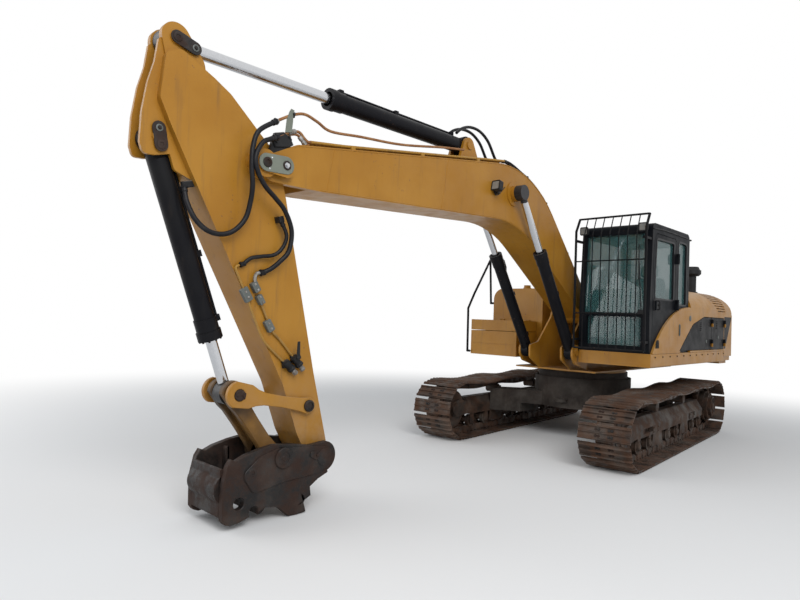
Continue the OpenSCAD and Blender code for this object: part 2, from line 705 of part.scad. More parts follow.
// Storage box in front of the tank, an open box with its lid
box_x0 = tank_x1 + seat_gap;
box_x1 = 1000;
box_y0 = -1360;
box_y1 = -540;
box_z0 = deck_z;
box_z1 = 1504;
box_top = 1670;
module storage_box_shape() {
    color([0.86, 0.60, 0.16]) in_house() difference() {
        block(box_x0, box_y0, box_z0, box_x1, box_y1, box_z1);
        block(box_x0 + sheet_t, box_y0 + sheet_t, box_z0 + sheet_t, box_x1 - sheet_t,
            box_y1 - sheet_t, box_z1 + 10);
        block(box_x1 - 6, box_y0 + 40, 1305, box_x1 + 1, box_y1 - 40, 1315);
    }
    color([0.86, 0.60, 0.16]) in_house() for (y = lid_hinge_y) {
        block(box_x0, y + 40 + seat_gap, box_z1 - 20, box_x0 + 11, y + 80, box_top + 20);
        block(box_x0, y + 40 + seat_gap, box_top + 6, box_x0 + 24, y + 80, box_top + 20);
        bar_y(box_x0 + 24, box_top + 11, 10, y + 40 + seat_gap, y + 80);
    }
}
lid_hinge_y = [box_y0 + 160, box_y1 - 200];
module box_lid_shape() {
    color([0.86, 0.60, 0.16]) in_house() {
        difference() {
            block(box_x0 + 12, box_y0, box_z1 + door_gap, box_x1, box_y1, box_top);
            block(box_x0 + 12 + sheet_t, box_y0 + sheet_t, box_z1, box_x1 - sheet_t,
                box_y1 - sheet_t, box_top - sheet_t);
        }
        for (y = lid_hinge_y) {
            bar_y(box_x0 + 24, box_top + 11, 10, y - 40, y + 40);
            block(box_x0 + 24, y - 40, box_top - 1, box_x0 + 60, y + 40, box_top + 12);
        }
    }
}

// Handrail at the right front corner: bent tube by its own route
module tube(points, r) {
    for (i = [0 : len(points) - 2]) {
        d = points[i + 1] - points[i];
        translate(points[i]) rotate([0, acos(d[2] / norm(d)), atan2(d[1], d[0])])
            cylinder(r = r, h = norm(d), $fn = 16);
        if (i < len(points) - 2) translate(points[i + 1]) sphere(r * 1.06, $fn = 16);
    }
}
rail_y = box_y0 - 50;
rail_r = 17;
rail_front = [[1020, box_y0 - seat_gap, 1180], [1020, rail_y, 1180], [1030, rail_y, 1840],
    [880, rail_y, 2080], [480, rail_y, 2640], [100, rail_y, 2660], [40, rail_y, 2560],
    [20, rail_y, 1960], [20, tank_y0 - seat_gap, 1960]];
module handrail_shape() {
    color([0.10, 0.10, 0.10]) in_house() {
        tube(rail_front, rail_r);
        tube([[480, rail_y, 2640], [430, rail_y, 1940], [430, tank_y0 - seat_gap, 1940]], rail_r);
    }
}

// Air precleaner and exhaust stub behind the cab
module precleaner_shape() {
    color([0.08, 0.08, 0.08]) in_house() translate([-1790, 960, hood_z + seat_gap]) {
        cylinder(r = 84, h = 30);
        cylinder(r = 62, h = 300);
        translate([0, 0, 290]) cylinder(r1 = 100, r2 = 132, h = 30);
        translate([0, 0, 320]) cylinder(r = 132, h = 60);
        translate([0, 0, 380]) cylinder(r1 = 118, r2 = 92, h = 56);
    }
    color([0.25, 0.22, 0.20]) in_house() translate([-700, -250, hood_z]) {
        cylinder(r = 62, h = 330);
        translate([0, 0, 300]) rotate([0, -30, 0]) cylinder(r = 56, h = 110);
    }
}

// Cab: hollow shell with posts, roof and floor, cut for its windows and its door
cab_front = 960;
cab_floor = deck_top + seat_gap;
door_x0 = 120;
door_x1 = 900;
door_head = cab_top - 120;
cab_rows = [[cab_rear, cab_floor, 0], [cab_front + 20, cab_floor, 0], [cab_front + 26, 1840, 90],
    [cab_front - 36, cab_top, 70], [cab_rear, cab_top, 90]];
cab_rows_in = [[cab_rear + post_t, cab_floor + 50, 0], [cab_front - 40, cab_floor + 50, 0],
    [cab_front - 34, 1840, 60], [cab_front - 96, cab_top - 60, 40],
    [cab_rear + post_t, cab_top - 60, 50]];
side_win = [[cab_rear + 110, 1960, 30], [20, 1960, 30], [20, cab_top - 150, 30],
    [cab_rear + 110, cab_top - 150, 60]];
inner_win = [[cab_rear + 110, 1760, 30], [door_x1 - 40, 1760, 30], [door_x1 - 90, cab_top - 150, 30],
    [cab_rear + 110, cab_top - 150, 60]];
sill_z = 1800;
cab_hinge_z = [1880, 2500];
door_hinge_y = cab_y1 + 40;
module window_y(rows, y0, y1, grow = 0) {
    slab(y0, y1) offset(delta = grow) polygon(rounded(rows));
}
module cab_shell_shape() {
    color([0.10, 0.11, 0.12]) in_house() difference() {
        slab(cab_y0, cab_y1) polygon(rounded(cab_rows));
        slab(cab_y0 + post_t, cab_y1 - post_t) polygon(rounded(cab_rows_in));
        // Door opening, side windows, windscreens, roof light and rear window
        slab(cab_y1 - post_t - 10, cab_y1 + 10)
            polygon(concat(bow_run(door_x0, door_x1, 10), door_upper(0)));
        window_y(side_win, cab_y1 - post_t - 10, cab_y1 + 10);
        window_y(inner_win, cab_y0 - 10, cab_y0 + post_t + 10);
        block(cab_front - 110, cab_y0 + 70, sill_z + 20, cab_front + 60, cab_y1 - 70, cab_top - 130);
        block(cab_front - 110, cab_y0 + 110, cab_floor + 90, cab_front + 60, cab_y1 - 110, sill_z - 30);
        block(cab_front - 600, cab_y0 + 130, cab_top - 80, cab_front - 140, cab_y1 - 130, cab_top + 10);
        block(cab_rear - 10, cab_y0 + 110, 1900, cab_rear + post_t + 10, cab_y1 - 110, cab_top - 170);
    }
    color([0.10, 0.11, 0.12]) in_house() for (z = cab_hinge_z) {
        translate([door_x0 + 10, door_hinge_y, z + 90 + seat_gap]) cylinder(r = 14, h = 50);
        block(door_x0 - 20, cab_y1 - 4, z + 90 + seat_gap, door_x0 + 4, door_hinge_y, z + 140 + seat_gap);
    }
}
module cab_glass_shape() {
    color([0.45, 0.62, 0.60, 0.5]) in_house() {
        window_y(side_win, cab_y1 - 30, cab_y1 - 30 + glass_t);
        window_y(inner_win, cab_y0 + 24, cab_y0 + 24 + glass_t);
        block(cab_front - 30, cab_y0 + 110, cab_floor + 90, cab_front - 30 + glass_t,
            cab_y1 - 110, sill_z - 30);
        block(cab_front - 600, cab_y0 + 130, cab_top - 30, cab_front - 140, cab_y1 - 130,
            cab_top - 30 + glass_t);
        block(cab_rear + 20, cab_y0 + 110, 1900, cab_rear + 20 + glass_t, cab_y1 - 110,
            cab_top - 170);
        slab(cab_y0 + 70, cab_y1 - 70) polygon([[cab_front - 6, sill_z + 20],
            [cab_front - 6 + glass_t, sill_z + 20],
            [cab_front - 62 + glass_t, cab_top - 130], [cab_front - 62, cab_top - 130]]);
    }
}
module seat_shape() {
    color([0.12, 0.12, 0.13]) in_house() translate([120, 900, cab_floor + 50 + seat_gap]) {
        block(-200, -200, 0, 220, 200, 260);
        block(-240, -250, 260, 280, 250, 380);
        translate([-230, 0, 380]) rotate([0, -8, 0]) block(-60, -240, -20, 70, 240, 560);
        translate([-300, 0, 940]) rotate([0, -8, 0]) block(-45, -130, 0, 45, 130, 190);
        for (y = [-70, 70]) translate([-275, y, 850]) rotate([0, -8, 0]) cylinder(r = 9, h = 130);
    }
}
module console_shape() {
    color([0.15, 0.15, 0.16]) in_house() {
        for (y = [cab_y0 + post_t + 30, 1180])
            translate([0, y, 0]) {
                block(-60, 0, cab_floor + 50 + seat_gap, 420, 110, 2010);
                translate([380, 55, 2010]) cylinder(r = 16, h = 170);
                translate([380, 55, 2170]) cylinder(r = 26, h = 90);
            }
        for (y = [860, 960])
            translate([640, y, cab_floor + 50 + seat_gap]) {
                block(-20, -20, 0, 20, 20, 60);
                translate([0, 0, 60]) rotate([0, -25, 0]) block(-110, -40, 0, 110, 40, 16);
                translate([0, 0, 60]) cylinder(r = 9, h = 420);
            }
        block(760, cab_y0 + post_t + 20, 1900, 860, cab_y0 + post_t + 150, 2120);
        block(780, cab_y0 + post_t + 20, cab_floor + 50 + seat_gap, 830, cab_y0 + post_t + 60, 1900);
    }
}

// Front guard: a frame of tube with upright rods that lean back above the roof
guard_x = 1150;
guard_r = 16;
guard_y0 = boom_cyl_y + boom_barrel_r + collar_out + guard_r + side_gap;
guard_y1 = 1375;
guard_z0 = 1345;
guard_bend = 2880;
guard_top = [1052, 3056];
rod_r = 7;
// Front face of the cab at a height above its sill
function cab_face(z) = cab_front + 26 - 62 * (z - 1840) / (cab_top - 1840);
module front_guard_shape() {
    color([0.09, 0.09, 0.10]) in_house() {
        for (y = [guard_y0, guard_y1])
            tube([[guard_x, y, guard_z0], [guard_x, y, guard_bend], [guard_top[0], y, guard_top[1]]], guard_r);
        for (z = [guard_z0, sill_z, 2480])
            bar_y(guard_x, z, z == guard_z0 ? 13 : 9, guard_y0, guard_y1);
        bar_y(guard_top[0], guard_top[1], 13, guard_y0, guard_y1);
        for (k = [1 : 7])
            tube([[guard_x, guard_y0 + (guard_y1 - guard_y0) * k / 8, guard_z0],
                [guard_x, guard_y0 + (guard_y1 - guard_y0) * k / 8, guard_bend - 60],
                [guard_top[0], guard_y0 + (guard_y1 - guard_y0) * k / 8, guard_top[1]]], rod_r);
        // Brackets back to the cab's posts
        for (y = [cab_y0 + 8, cab_y1 - 40])
            block(cab_front + 22, y, 1440, guard_x, y + 32, 1470);
        for (y = [cab_y0 + 8, cab_y1 - 40])
            block(cab_face(2740) + seat_gap, y, 2740, guard_x, y + 32, 2770);
    }
}

// Square lamp with rounded corners
module lamp_face(half) {
    polygon(rounded([[-half, -half, 18], [half, -half, 18], [half, half, 18], [-half, half, 18]], 3));
}
module cab_lamps_shape() {
    color([0.14, 0.14, 0.14]) in_house() for (y = [cab_y0 + 60, cab_y1 - 90]) {
        block(cab_face(cab_top - 70) + seat_gap, y - 15, cab_top - 70, cab_front + 10, y + 15, cab_top - 54);
        translate([cab_front + 4, y, cab_top - 62]) rotate([0, 90, 0]) {
            linear_extrude(50) lamp_face(46);
            translate([0, 0, 50]) linear_extrude(14) lamp_face(56);
        }
    }
}

// Cab door: frame, lower panel with its coloured bow, hinges behind
door_y0 = cab_y1 - post_t + 6;
// Corners of the door above its bow, set in by d from the opening
function door_upper(d) = [[door_x1 - d, door_head - 500], [door_x1 - d - 12, door_head - 180],
    [door_x1 - d - 60, door_head - 50], [door_x1 - d - 110, door_head - d],
    [door_x0 + d + 30, door_head - d], [door_x0 + d, door_head - d - 30]];
door_rows = concat(bow_run(door_x0 + door_gap, door_x1 - door_gap, 10) + [for (i = [0 : 10])
    [0, door_gap]], door_upper(door_gap));
door_win = [[door_x0 + 70, 2010, 30], [door_x1 - 80, 2010, 30], [door_x1 - 80, door_head - 500, 30],
    [door_x1 - 115, door_head - 70, 30], [door_x0 + 70, door_head - 70, 30]];
module cab_door_shape() {
    color([0.10, 0.11, 0.12]) in_house() {
        difference() {
            slab(door_y0, cab_y1) polygon(door_rows);
            slab(door_y0 - 5, cab_y1 + 5) polygon(rounded(door_win));
        }
        for (z = cab_hinge_z) {
            translate([door_x0 + 10, door_hinge_y, z]) cylinder(r = 14, h = 90);
            block(door_x0 + 8 + 2, cab_y1 - 4, z, door_x0 + 26, door_hinge_y, z + 90);
        }
        block(door_x1 - 90, cab_y1, 1860, door_x1 - 60, cab_y1 + 26, 1980);
    }
}
module door_glass_shape() {
    color([0.45, 0.62, 0.60, 0.5]) in_house()
        window_y(door_win, cab_y1 - 30, cab_y1 - 30 + glass_t);
}

// Boom, drawn with its foot pin at the origin and its tip on X. Columns: x, z, radius
boom_rows = [[-60, 0, 0], [-50, 100, 0], [1951, 1503, 1500], [5400, 282, 200], [5610, 118, 60],
    [boom_l + 118, 60, 50], [boom_l + 118, -60, 50], [boom_l - 100, -112, 60], [5080, -14, 300],
    [2090, 711, 1500], [70, -110, 0]];
tip_fork = stick_w / 2 + side_gap;
// Straight back of the boom, from its bend to the head
back_slope = slope(flat(boom_rows[2]), flat(boom_rows[3]));
function boom_top(x) = boom_rows[3][1] + (x - boom_rows[3][0]) * tan(back_slope);
boom_pin = [2260, 1010];
stick_base = [3075, 1310];
boom_tip = [foot_x, foot_z] + turned([boom_l, 0], boom_a);
fork_x = boom_l - 520;

module in_boom() {
    translate([foot_x - swing_back, 0, foot_z]) rotate([0, -boom_a, 0]) children();
}
module boom_shape() {
    color([0.86, 0.60, 0.16]) in_boom() difference() {
        union() {
            slab(-boom_w / 2, boom_w / 2) polygon(rounded(boom_rows, 10));
            bar_y(0, 0, 148, -boom_w / 2, boom_w / 2);
            bar_y(boom_pin[0], boom_pin[1], 96, -boom_cyl_y + 50 + seat_gap, boom_cyl_y - 50 - seat_gap);
            slabs(boom_w / 2 - 1, boom_w / 2 + 12) translate(boom_pin) circle(150);
            slabs(60 + side_gap, 60 + side_gap + 34) link([stick_base[0], stick_base[1]], 92,
                [stick_base[0] - 60, 1080], 190);
            bar_y(boom_l, 0, 112, tip_fork, boom_w / 2 + 40);
            bar_y(boom_l, 0, 112, -boom_w / 2 - 40, -tip_fork);
        }
        slab(-tip_fork, tip_fork) polygon([[fork_x, -300], [boom_l + 300, -300],
            [boom_l + 300, 500], [fork_x + 120, 500]]);
        bar_y(0, 0, pin_r + pin_play, -boom_w, boom_w);
    }
    color([0.5, 0.5, 0.48]) in_boom() {
        bar_y(boom_l, 0, pin_r, -boom_w / 2 - 50, boom_w / 2 + 50);
        slab(boom_w / 2 + 40, boom_w / 2 + 56) link([boom_l, 0], 72, [boom_l - 195, 12], 62);
        bar_y(stick_base[0], stick_base[1], pin_r, -60 - side_gap - 50, 60 + side_gap + 50);
    }
}

// Steel lines along the top of the boom
module boom_lines_shape() {
    color([0.70, 0.48, 0.16]) in_boom() for (y = [-150, -118, 118, 150, 190])
        tube([[5260, y, 372], [4900, y, 490], [3300, y, 1060], [2800, y, 1240], [2500, y, 1345]], 13);
    // Clamps that hold the lines on the boom's top plate
    color([0.12, 0.12, 0.12]) in_boom() for (x = [4800, 3900, 3000])
        translate([x, 0, boom_top(x)]) rotate([0, -back_slope, 0]) {
            block(-25, 104, seat_gap, 25, 210, 38);
            block(-25, -170, seat_gap, 25, -104, 38);
        }
}

// A hose: rings of points swept along a smooth line through its route
ring_n = 8;
function curve_point(a, b, c, d, t) = 0.5 * (2 * b + (c - a) * t
    + (2 * a - 5 * b + 4 * c - d) * t * t + (3 * b - a - 3 * c + d) * t * t * t);
function curve(p, n) = [for (i = [0 : len(p) - 2], k = [0 : n - 1])
    curve_point(p[max(i - 1, 0)], p[i], p[i + 1], p[min(i + 2, len(p) - 1)], k / n),
    p[len(p) - 1]];
function hose_ring(c, i, r) =
    let (t = unit(c[min(i + 1, len(c) - 1)] - c[max(i - 1, 0)]),
         a = unit(cross(t, [0, 1, 0])), b = cross(t, a))
    [for (k = [0 : ring_n - 1]) c[i] + r * (cos(360 * k / ring_n) * a + sin(360 * k / ring_n) * b)];
module hose(route, r, n) {
    c = curve(route, n);
    last = (len(c) - 1) * ring_n;
    polyhedron(
        points = [for (i = [0 : len(c) - 1]) each hose_ring(c, i, r)],
        faces = concat([[for (k = [0 : ring_n - 1]) k]],
            [for (i = [0 : ring_n : last - 1], k = [0 : ring_n - 1], h = [0, 1])
                let (m = (k + 1) % ring_n)
                h == 0 ? [i + k, i + ring_n + k, i + ring_n + m] : [i + k, i + ring_n + m, i + m]],
            [[for (k = [ring_n - 1 : -1 : 0]) last + k]]));
}

// Pipes over the boom's head, and the bracket that holds them up. Route columns: x, y, z
upper_pipe = [[5664, 250, 354], [5620, 238, 400], [5500, 222, 502], [5388, 220, 560],
    [5250, 220, 556], [5092, 220, 540], [4750, 220, 642], [4240, 220, 790], [3664, 220, 1011],
    [3300, 220, 1140]];
lower_pipe = [[5642, 224, 230], [5600, 224, 262], [5530, 222, 322], [5450, 206, 380],
    [5385, 192, 402], [5330, 190, 376], [5290, 190, 362.3], [5260.3, 190, 371.9]];
module tip_pipes_shape() {
    color([0.62, 0.40, 0.16]) in_boom() {
        hose(upper_pipe, 14, 1);
        hose(lower_pipe, 13, 1);
    }
    color([0.35, 0.36, 0.36]) in_boom() {
        slab(222, 236) polygon([[5440, 251.3], [5590, 134.2], [5640, 150], [5650, 290],
            [5560, 330], [5556, 480], [5500, 500], [5470, 420]]);
        block(5580, 204, 224, 5624, 240, 300);
        block(5480, 204, 470, 5530, 240, 530);
    }
}

// Hoses down the arch of the boom, and the loops to the stick cylinder
arch_hose = [[2498.1, 0, 1345.4], [2400, 0, 1366], [2280, 0, 1366], [2130, 0, 1352],
    [1974, 0, 1338], [1797, 0, 1303], [1625, 0, 1248], [1461, 0, 1173], [1100, 0, 930],
    [760, 0, 694], [350, 0, 406], [60, 0, 202]];
stick_loop = [[2420, 0, 1323], [2540, 0, 1410], [2700, 0, 1540], [2880, 0, 1592], [3060, 0, 1560],
    [3200, 0, 1476], [3286, 0, 1378]];
module boom_hoses_shape() {
    color([0.06, 0.06, 0.07]) in_boom() {
        for (y = [150, 190]) hose([for (p = arch_hose) p + [0, y, 0]], 13, 1);
        for (y = [-62, 62]) hose([for (p = stick_loop) p + [0, y, 0]], 17, 1);
    }
}

module boom_lamp_shape() {
    color([0.12, 0.12, 0.12]) in_boom() translate([2660, boom_w / 2, 880]) {
        block(-40, 0, -10, 0, 60, 60);
        translate([0, 62, 60]) rotate([0, 90, 0]) linear_extrude(62) lamp_face(60);
    }
}

// Cylinders. A barrel lies along X from its own pin, a rod likewise from its eye
function reach(p, q) = norm(q - p);
// Length of the flat neck between an eye and its tube
neck = 50;
// Radius of the steel pipe along a barrel
barrel_pipe_r = 12;
module barrel(l, r, collar_r, eye_r, w, pipe_a) {
    difference() {
        union() {
            bar_y(0, 0, eye_r, -w / 2, w / 2);
            rotate([0, 90, 0]) cylinder(r = r, h = l);
            translate([l - 170, 0, 0]) rotate([0, 90, 0]) cylinder(r = (r + collar_r) / 2, h = 170);
            translate([l - 70, 0, 0]) rotate([0, 90, 0]) cylinder(r = collar_r, h = 70);
        }
        bar_y(0, 0, pin_r + pin_play, -300, 300);
        translate([eye_r + neck + 20, 0, 0]) rotate([0, 90, 0]) cylinder(r = r - 17, h = l);
        for (s = [-1, 1]) block(-eye_r - 1, s > 0 ? w / 2 : -w / 2 - 200, -eye_r - 100,
            eye_r + neck, s > 0 ? w / 2 + 200 : -w / 2, eye_r + 100);
    }
    // Pipe to the gland, with its port blocks
    start = eye_r + neck + 60;
    rotate([pipe_a, 0, 0]) {
        translate([start, 0, r + barrel_pipe_r + 6]) rotate([0, 90, 0])
            cylinder(r = barrel_pipe_r, h = l - 130 - start, $fn = 12);
        for (x = [start, (start + l) / 2, l - 150])
            block(x - 20, -26, r - 6, x + 30, 26, r + 2 * barrel_pipe_r + 12);
    }
}
module rod(l, tube_in, rod_radius, eye_r, w, pin_w) {
    // From the piston inside the barrel, forward to the eye at x = l
    translate([tube_in, 0, 0]) rotate([0, 90, 0]) cylinder(r = rod_radius, h = l - tube_in - 20);
    bar_y(l, 0, eye_r, -w / 2, w / 2);
    bar_y(l, 0, pin_r, -pin_w / 2, pin_w / 2);
}

boom_cyl_base = [base_x, base_z];
boom_cyl_eye = [foot_x, foot_z] + turned(boom_pin, boom_a);
boom_cyl_l = reach(boom_cyl_base, boom_cyl_eye);
boom_cyl_a = slope(boom_cyl_base, boom_cyl_eye);
boom_barrel_l = 1540;
// Distance from a barrel's own pin to the rod's piston, as parked
boom_piston = 840;
module in_boom_cylinder(s) {
    translate([base_x - swing_back, s * boom_cyl_y, base_z]) rotate([0, -boom_cyl_a, 0]) children();
}
module boom_barrels_shape() {
    color([0.10, 0.10, 0.11]) for (s = [-1, 1]) in_boom_cylinder(s)
        barrel(boom_barrel_l, boom_barrel_r, boom_barrel_r + collar_out, 96, 96, 0);
}
module boom_rods_shape() {
    color([0.70, 0.71, 0.72]) for (s = [-1, 1]) in_boom_cylinder(s)
        rod(boom_cyl_l, boom_piston, 42.5, 92, 100, 100);
}

stick_cyl_base = [foot_x, foot_z] + turned(stick_base, boom_a);
stick_top = [-953, 453];
stick_cyl_eye = boom_tip + turned(stick_top, stick_a);
stick_cyl_l = reach(stick_cyl_base, stick_cyl_eye);
stick_cyl_a = slope(stick_cyl_base, stick_cyl_eye);
stick_barrel_l = 2000;
stick_piston = 1472;
// Half width of the slots that take the eyes of the stick's two cylinders
rod_slot = 66 + side_gap;
module in_stick_cylinder() {
    translate([stick_cyl_base[0] - swing_back, 0, stick_cyl_base[1]])
        rotate([0, -stick_cyl_a, 0]) children();
}
module stick_barrel_shape() {
    color([0.10, 0.10, 0.11]) in_stick_cylinder()
        barrel(stick_barrel_l, stick_barrel_r, stick_barrel_r + 16, 110, 120, 0);
}
module stick_rod_shape() {
    color([0.70, 0.71, 0.72]) in_stick_cylinder()
        rod(stick_cyl_l, stick_piston, 50, 98, 118, 2 * (rod_slot - seat_gap));
}

// Stick, drawn with its boom pin at the origin and the coupler's pin on X
stick_rows = [[stick_l + 132, 60, 60], [stick_l - 255, 152, 300], [stick_l - 705, 188, 400],
    [-330, 662, 200], [-530, 698, 80], [-838, 576, 36], [-864, 456, 60], [-663, 235, 0],
    [-545, 122, 200], [-230, -80, 80], [-60, -196, 160], [300, -200, 400],
    [stick_l - 695, -138, 600], [stick_l, -128, 60], [stick_l + 132, -60, 60]];
// Two ribs on the stick's front that carry the bucket cylinder's pin
rib_rows = [[-958, 556, 0], [-944, 582, 0], [-786, 650, 0], [-647, 734, 200], [-442, 827, 300],
    [-239, 892, 60], [-160, 888, 40], [-140, 800, 0], [-140, 692, 0], [-24, 686, 40],
    [60, 572, 0], [-100, 500, 0],
    [-800, 420, 0]];
rib_t = 30;
ear_y1 = 118;
bucket_base = [-265, 752];
guide_pin = [stick_l - 456, 8];
link_pin = [stick_l - 771, 612];
tool_back = [stick_l - 169, 398];
module in_stick() {
    translate([boom_tip[0] - swing_back, 0, boom_tip[1]]) rotate([0, -stick_a, 0]) children();
}
module stick_shape() {
    color([0.86, 0.60, 0.16]) in_stick() difference() {
        union() {
            slab(-stick_w / 2, stick_w / 2) polygon(rounded(stick_rows, 8));
            slabs(rod_slot, ear_y1) link(stick_top, 110, [-760, 420], 150);
            bar_y(0, 0, 190, -stick_w / 2, stick_w / 2);
            bar_y(stick_l, 0, 128, -stick_w / 2, stick_w / 2);
            slabs(rod_slot, rod_slot + rib_t) polygon(rounded(rib_rows, 4));
        }
        slab(-rod_slot, rod_slot) polygon([[-1200, 0], [-600, 60], [-640, 360],
            [-700, 800], [-1200, 800]]);
        bar_y(0, 0, pin_r + pin_play, -300, 300);
        bar_y(stick_l, 0, pin_r + pin_play, -300, 300);
        bar_y(guide_pin[0], guide_pin[1], pin_r + pin_play, -300, 300);
    }
    color([0.4, 0.4, 0.4]) in_stick() {
        bar_y(bucket_base[0], bucket_base[1], pin_r, -rod_slot - 50, rod_slot + 50);
        // Keepers that hold the two pins
        slabs(ear_y1 - 1, ear_y1 + 12) link(stick_top, 50, [-886, 334], 28);
        slabs(rod_slot + rib_t - 1, rod_slot + rib_t + 12) link([-330, 738], 34, [-200, 744], 30);
    }
}
line_y = stick_w / 2 + 16;
line_high = [[760, line_y, 392], [1074, line_y, 336], [1294, line_y, 284], [1550, line_y, 178]];
line_low = [[860, line_y, 232], [1092, line_y, 250], [1207, line_y, 220], [1504, line_y, 70]];
module stick_lines_shape() {
    color([0.70, 0.48, 0.16]) in_stick() {
        hose(line_high, 11, 2);
        hose(line_low, 11, 2);
    }
    // Clamps and the two couplings at the lower ends. Columns: u, v
    color([0.35, 0.36, 0.36]) in_stick() {
        for (p = [[930, 362], [960, 240], [1390, 244], [1390, 127]])
            block(p[0] - 22, stick_w / 2 + seat_gap, p[1] - 26, p[0] + 22, line_y + 16, p[1] + 26);
        for (p = [line_high[3], line_low[3]])
            block(p[0] - 20, stick_w / 2 + seat_gap, p[2] - 24, p[0] + 30, line_y + 24, p[2] + 24);
        for (p = [line_high[0], line_low[0]])
            block(p[0] - 40, stick_w / 2 + seat_gap, p[2] - 24, p[0] + 20, line_y + 24, p[2] + 24);
    }
}

// Hoses from the boom's head round to the stick, as they hang. Columns: u, y, v
hose_high = [[-311, 286, -161], [-243, 302, 30], [-129, 304, 115], [17, 304, 162], [160, 296, 184],
    [275, 262, 207], [400, 240, 270], [475, 228, 378], [487, 214, 485], [441, 200, 586],
    [342, 176, 649], [212, 140, 664], [96, 104, 640]];
hose_low = [[-187, 302, -132], [-172, 304, -50], [-148, 308, 28], [-51, 320, 120], [62, 320, 129], [179, 304, 78],
    [279, 284, -7], [391, 270, -86], [559, 266, -117], [714, 258, -59], [782, 240, 30],
    [826, 212, 110], [842, 190, 172], [842, 186, 206.7]];
hose_back = [[467, 215, -69], [592, 236, -80], [681, 226, -26], [724, 212, 57], [716, 194, 166],
    [712, 188, 260], [740, 183, 330], [745, 182, 366.3]];
module arm_hoses_shape() {
    color([0.06, 0.06, 0.07]) in_stick() {
        hose(hose_high, 16, 2);
        hose(hose_low, 16, 2);
        hose(hose_back, 14, 2);
    }
    color([0.35, 0.36, 0.36]) in_stick() {
        block(430, stick_w / 2 + seat_gap, -92, 480, 236, -46);
        slab(84, 124) polygon([[64, 574.3], [112, 563.5], [112, 656], [64, 656]]);
    }
}

bucket_cyl_l = reach(bucket_base, link_pin);
bucket_cyl_a = slope(bucket_base, link_pin);
bucket_barrel_l = 1540;
bucket_piston = 430;
module in_bucket_cylinder() {
    in_stick() translate([bucket_base[0], 0, bucket_base[1]]) rotate([0, -bucket_cyl_a, 0]) children();
}
module bucket_barrel_shape() {
    color([0.10, 0.10, 0.11]) in_bucket_cylinder()
        barrel(bucket_barrel_l, bucket_barrel_r, bucket_barrel_r + 16, 96, 118, 180);
}
module bucket_rod_shape() {
    color([0.70, 0.71, 0.72]) in_bucket_cylinder()
        rod(bucket_cyl_l, bucket_piston, 45, 92, 110, 2 * (power_y0 - seat_gap));
}

// Guide links on both sides of the stick, and the power link down to the coupler
guide_y0 = stick_w / 2 + side_gap;
guide_y1 = coupler_w / 2 - coupler_t - side_gap;
module guide_links_shape() {
    color([0.86, 0.60, 0.16]) in_stick() {
        slabs(guide_y0, guide_y1) link(link_pin, 108, guide_pin, 70);
        bar_y(guide_pin[0], guide_pin[1], pin_r, -guide_y1 - 20, guide_y1 + 20);
        for (s = [-1, 1])
            bar_y(link_pin[0], link_pin[1], pin_r, s > 0 ? power_y0 : -guide_y1,
                s > 0 ? guide_y1 : -power_y0);
    }
}
power_y0 = 55 + side_gap;
power_y1 = guide_y0 - side_gap;
module power_link_shape() {
    color([0.30, 0.24, 0.20]) in_stick() difference() {
        union() {
            slabs(power_y0, power_y1 - 36) link(link_pin, 104, tool_back, 84);
            slab(-power_y0, power_y0) link(link_pin * 0.55 + tool_back * 0.45, 60,
                link_pin * 0.3 + tool_back * 0.7, 60);
            bar_y(tool_back[0], tool_back[1], 84, -power_y1, -power_y0);
            bar_y(tool_back[0], tool_back[1], 84, power_y0, power_y1);
        }
        for (s = [-1, 1])
            bar_y(link_pin[0], link_pin[1], pin_r + pin_play, s * 130 - 100, s * 130 + 100);
    }
}

// Quick coupler: two side plates with the hook in front, the cross box and the rear jaw.
// Drawn with its stick pin at the origin. Columns of the outline: u down, v forward, radius
coupler_y0 = coupler_w / 2 - coupler_t;
hook_play = 0.5;
hook = [246, 316];
latch_notch = [128, 744];
coupler_rows = [[-90, -20, 0], [-70, 90, 0], [-230, 260, 60], [-310, 460, 80], [-322, 790, 20],
    [-390, 872, 20], [-487, 1030, 20], [-372, 1140, 30], [-283, 1060, 20], [-49, 1096, 50],
    [20, 1004, 10], [96, 1006, 30], [126, 950, 20], [152, 838, 20], [150, 690, 20],
    [196, 540, 40], [256, 492, 30], [308, 450, 30], [336, 385, 30], [338, 240, 12],
    [172, 150, 30], [172, 100, 40], [40, -100, 0]];
module in_coupler() {
    in_stick() translate([stick_l, 0, 0]) children();
}
module notch(at, a) {
    slab(-coupler_w, coupler_w) {
        translate(at) circle(tool_pin_r + hook_play);
        translate(at) rotate(a) translate([0, tuck - tool_pin_r - hook_play])
            square([260, 2 * (tool_pin_r + hook_play - tuck)]);
    }
}
module coupler_body_shape() {
    color([0.16, 0.14, 0.14]) in_coupler() {
        difference() {
            union() {
                slabs(coupler_y0, coupler_w / 2) {
                    polygon(rounded(coupler_rows, 4));
                    circle(134);
                }
                slabs(coupler_y0 - 1, coupler_w / 2 + 34)
                    translate([tool_back[0] - stick_l, tool_back[1]]) circle(76);
            }
            bar_y(10, 850, 46, -coupler_w, coupler_w);
            notch(hook, -53);
            notch(latch_notch, 0);
        }
        // Cross box in front and the floor between the plates
        slab(-coupler_y0, coupler_y0) polygon([[-286, 1050], [-60, 1082], [-60, 1020],
            [-262, 992]]);
        slab(-coupler_y0, coupler_y0) polygon([[20, 400], [70, 400], [70, 780], [20, 780]]);
        bar_y(0, 0, pin_r, -coupler_w / 2 - 10, coupler_w / 2 + 10);
        for (s = [-1, 1])
            bar_y(tool_back[0] - stick_l, tool_back[1], pin_r,
                s * (coupler_y0 - 6) - 20, s * (coupler_y0 - 6) + 20);
    }
}
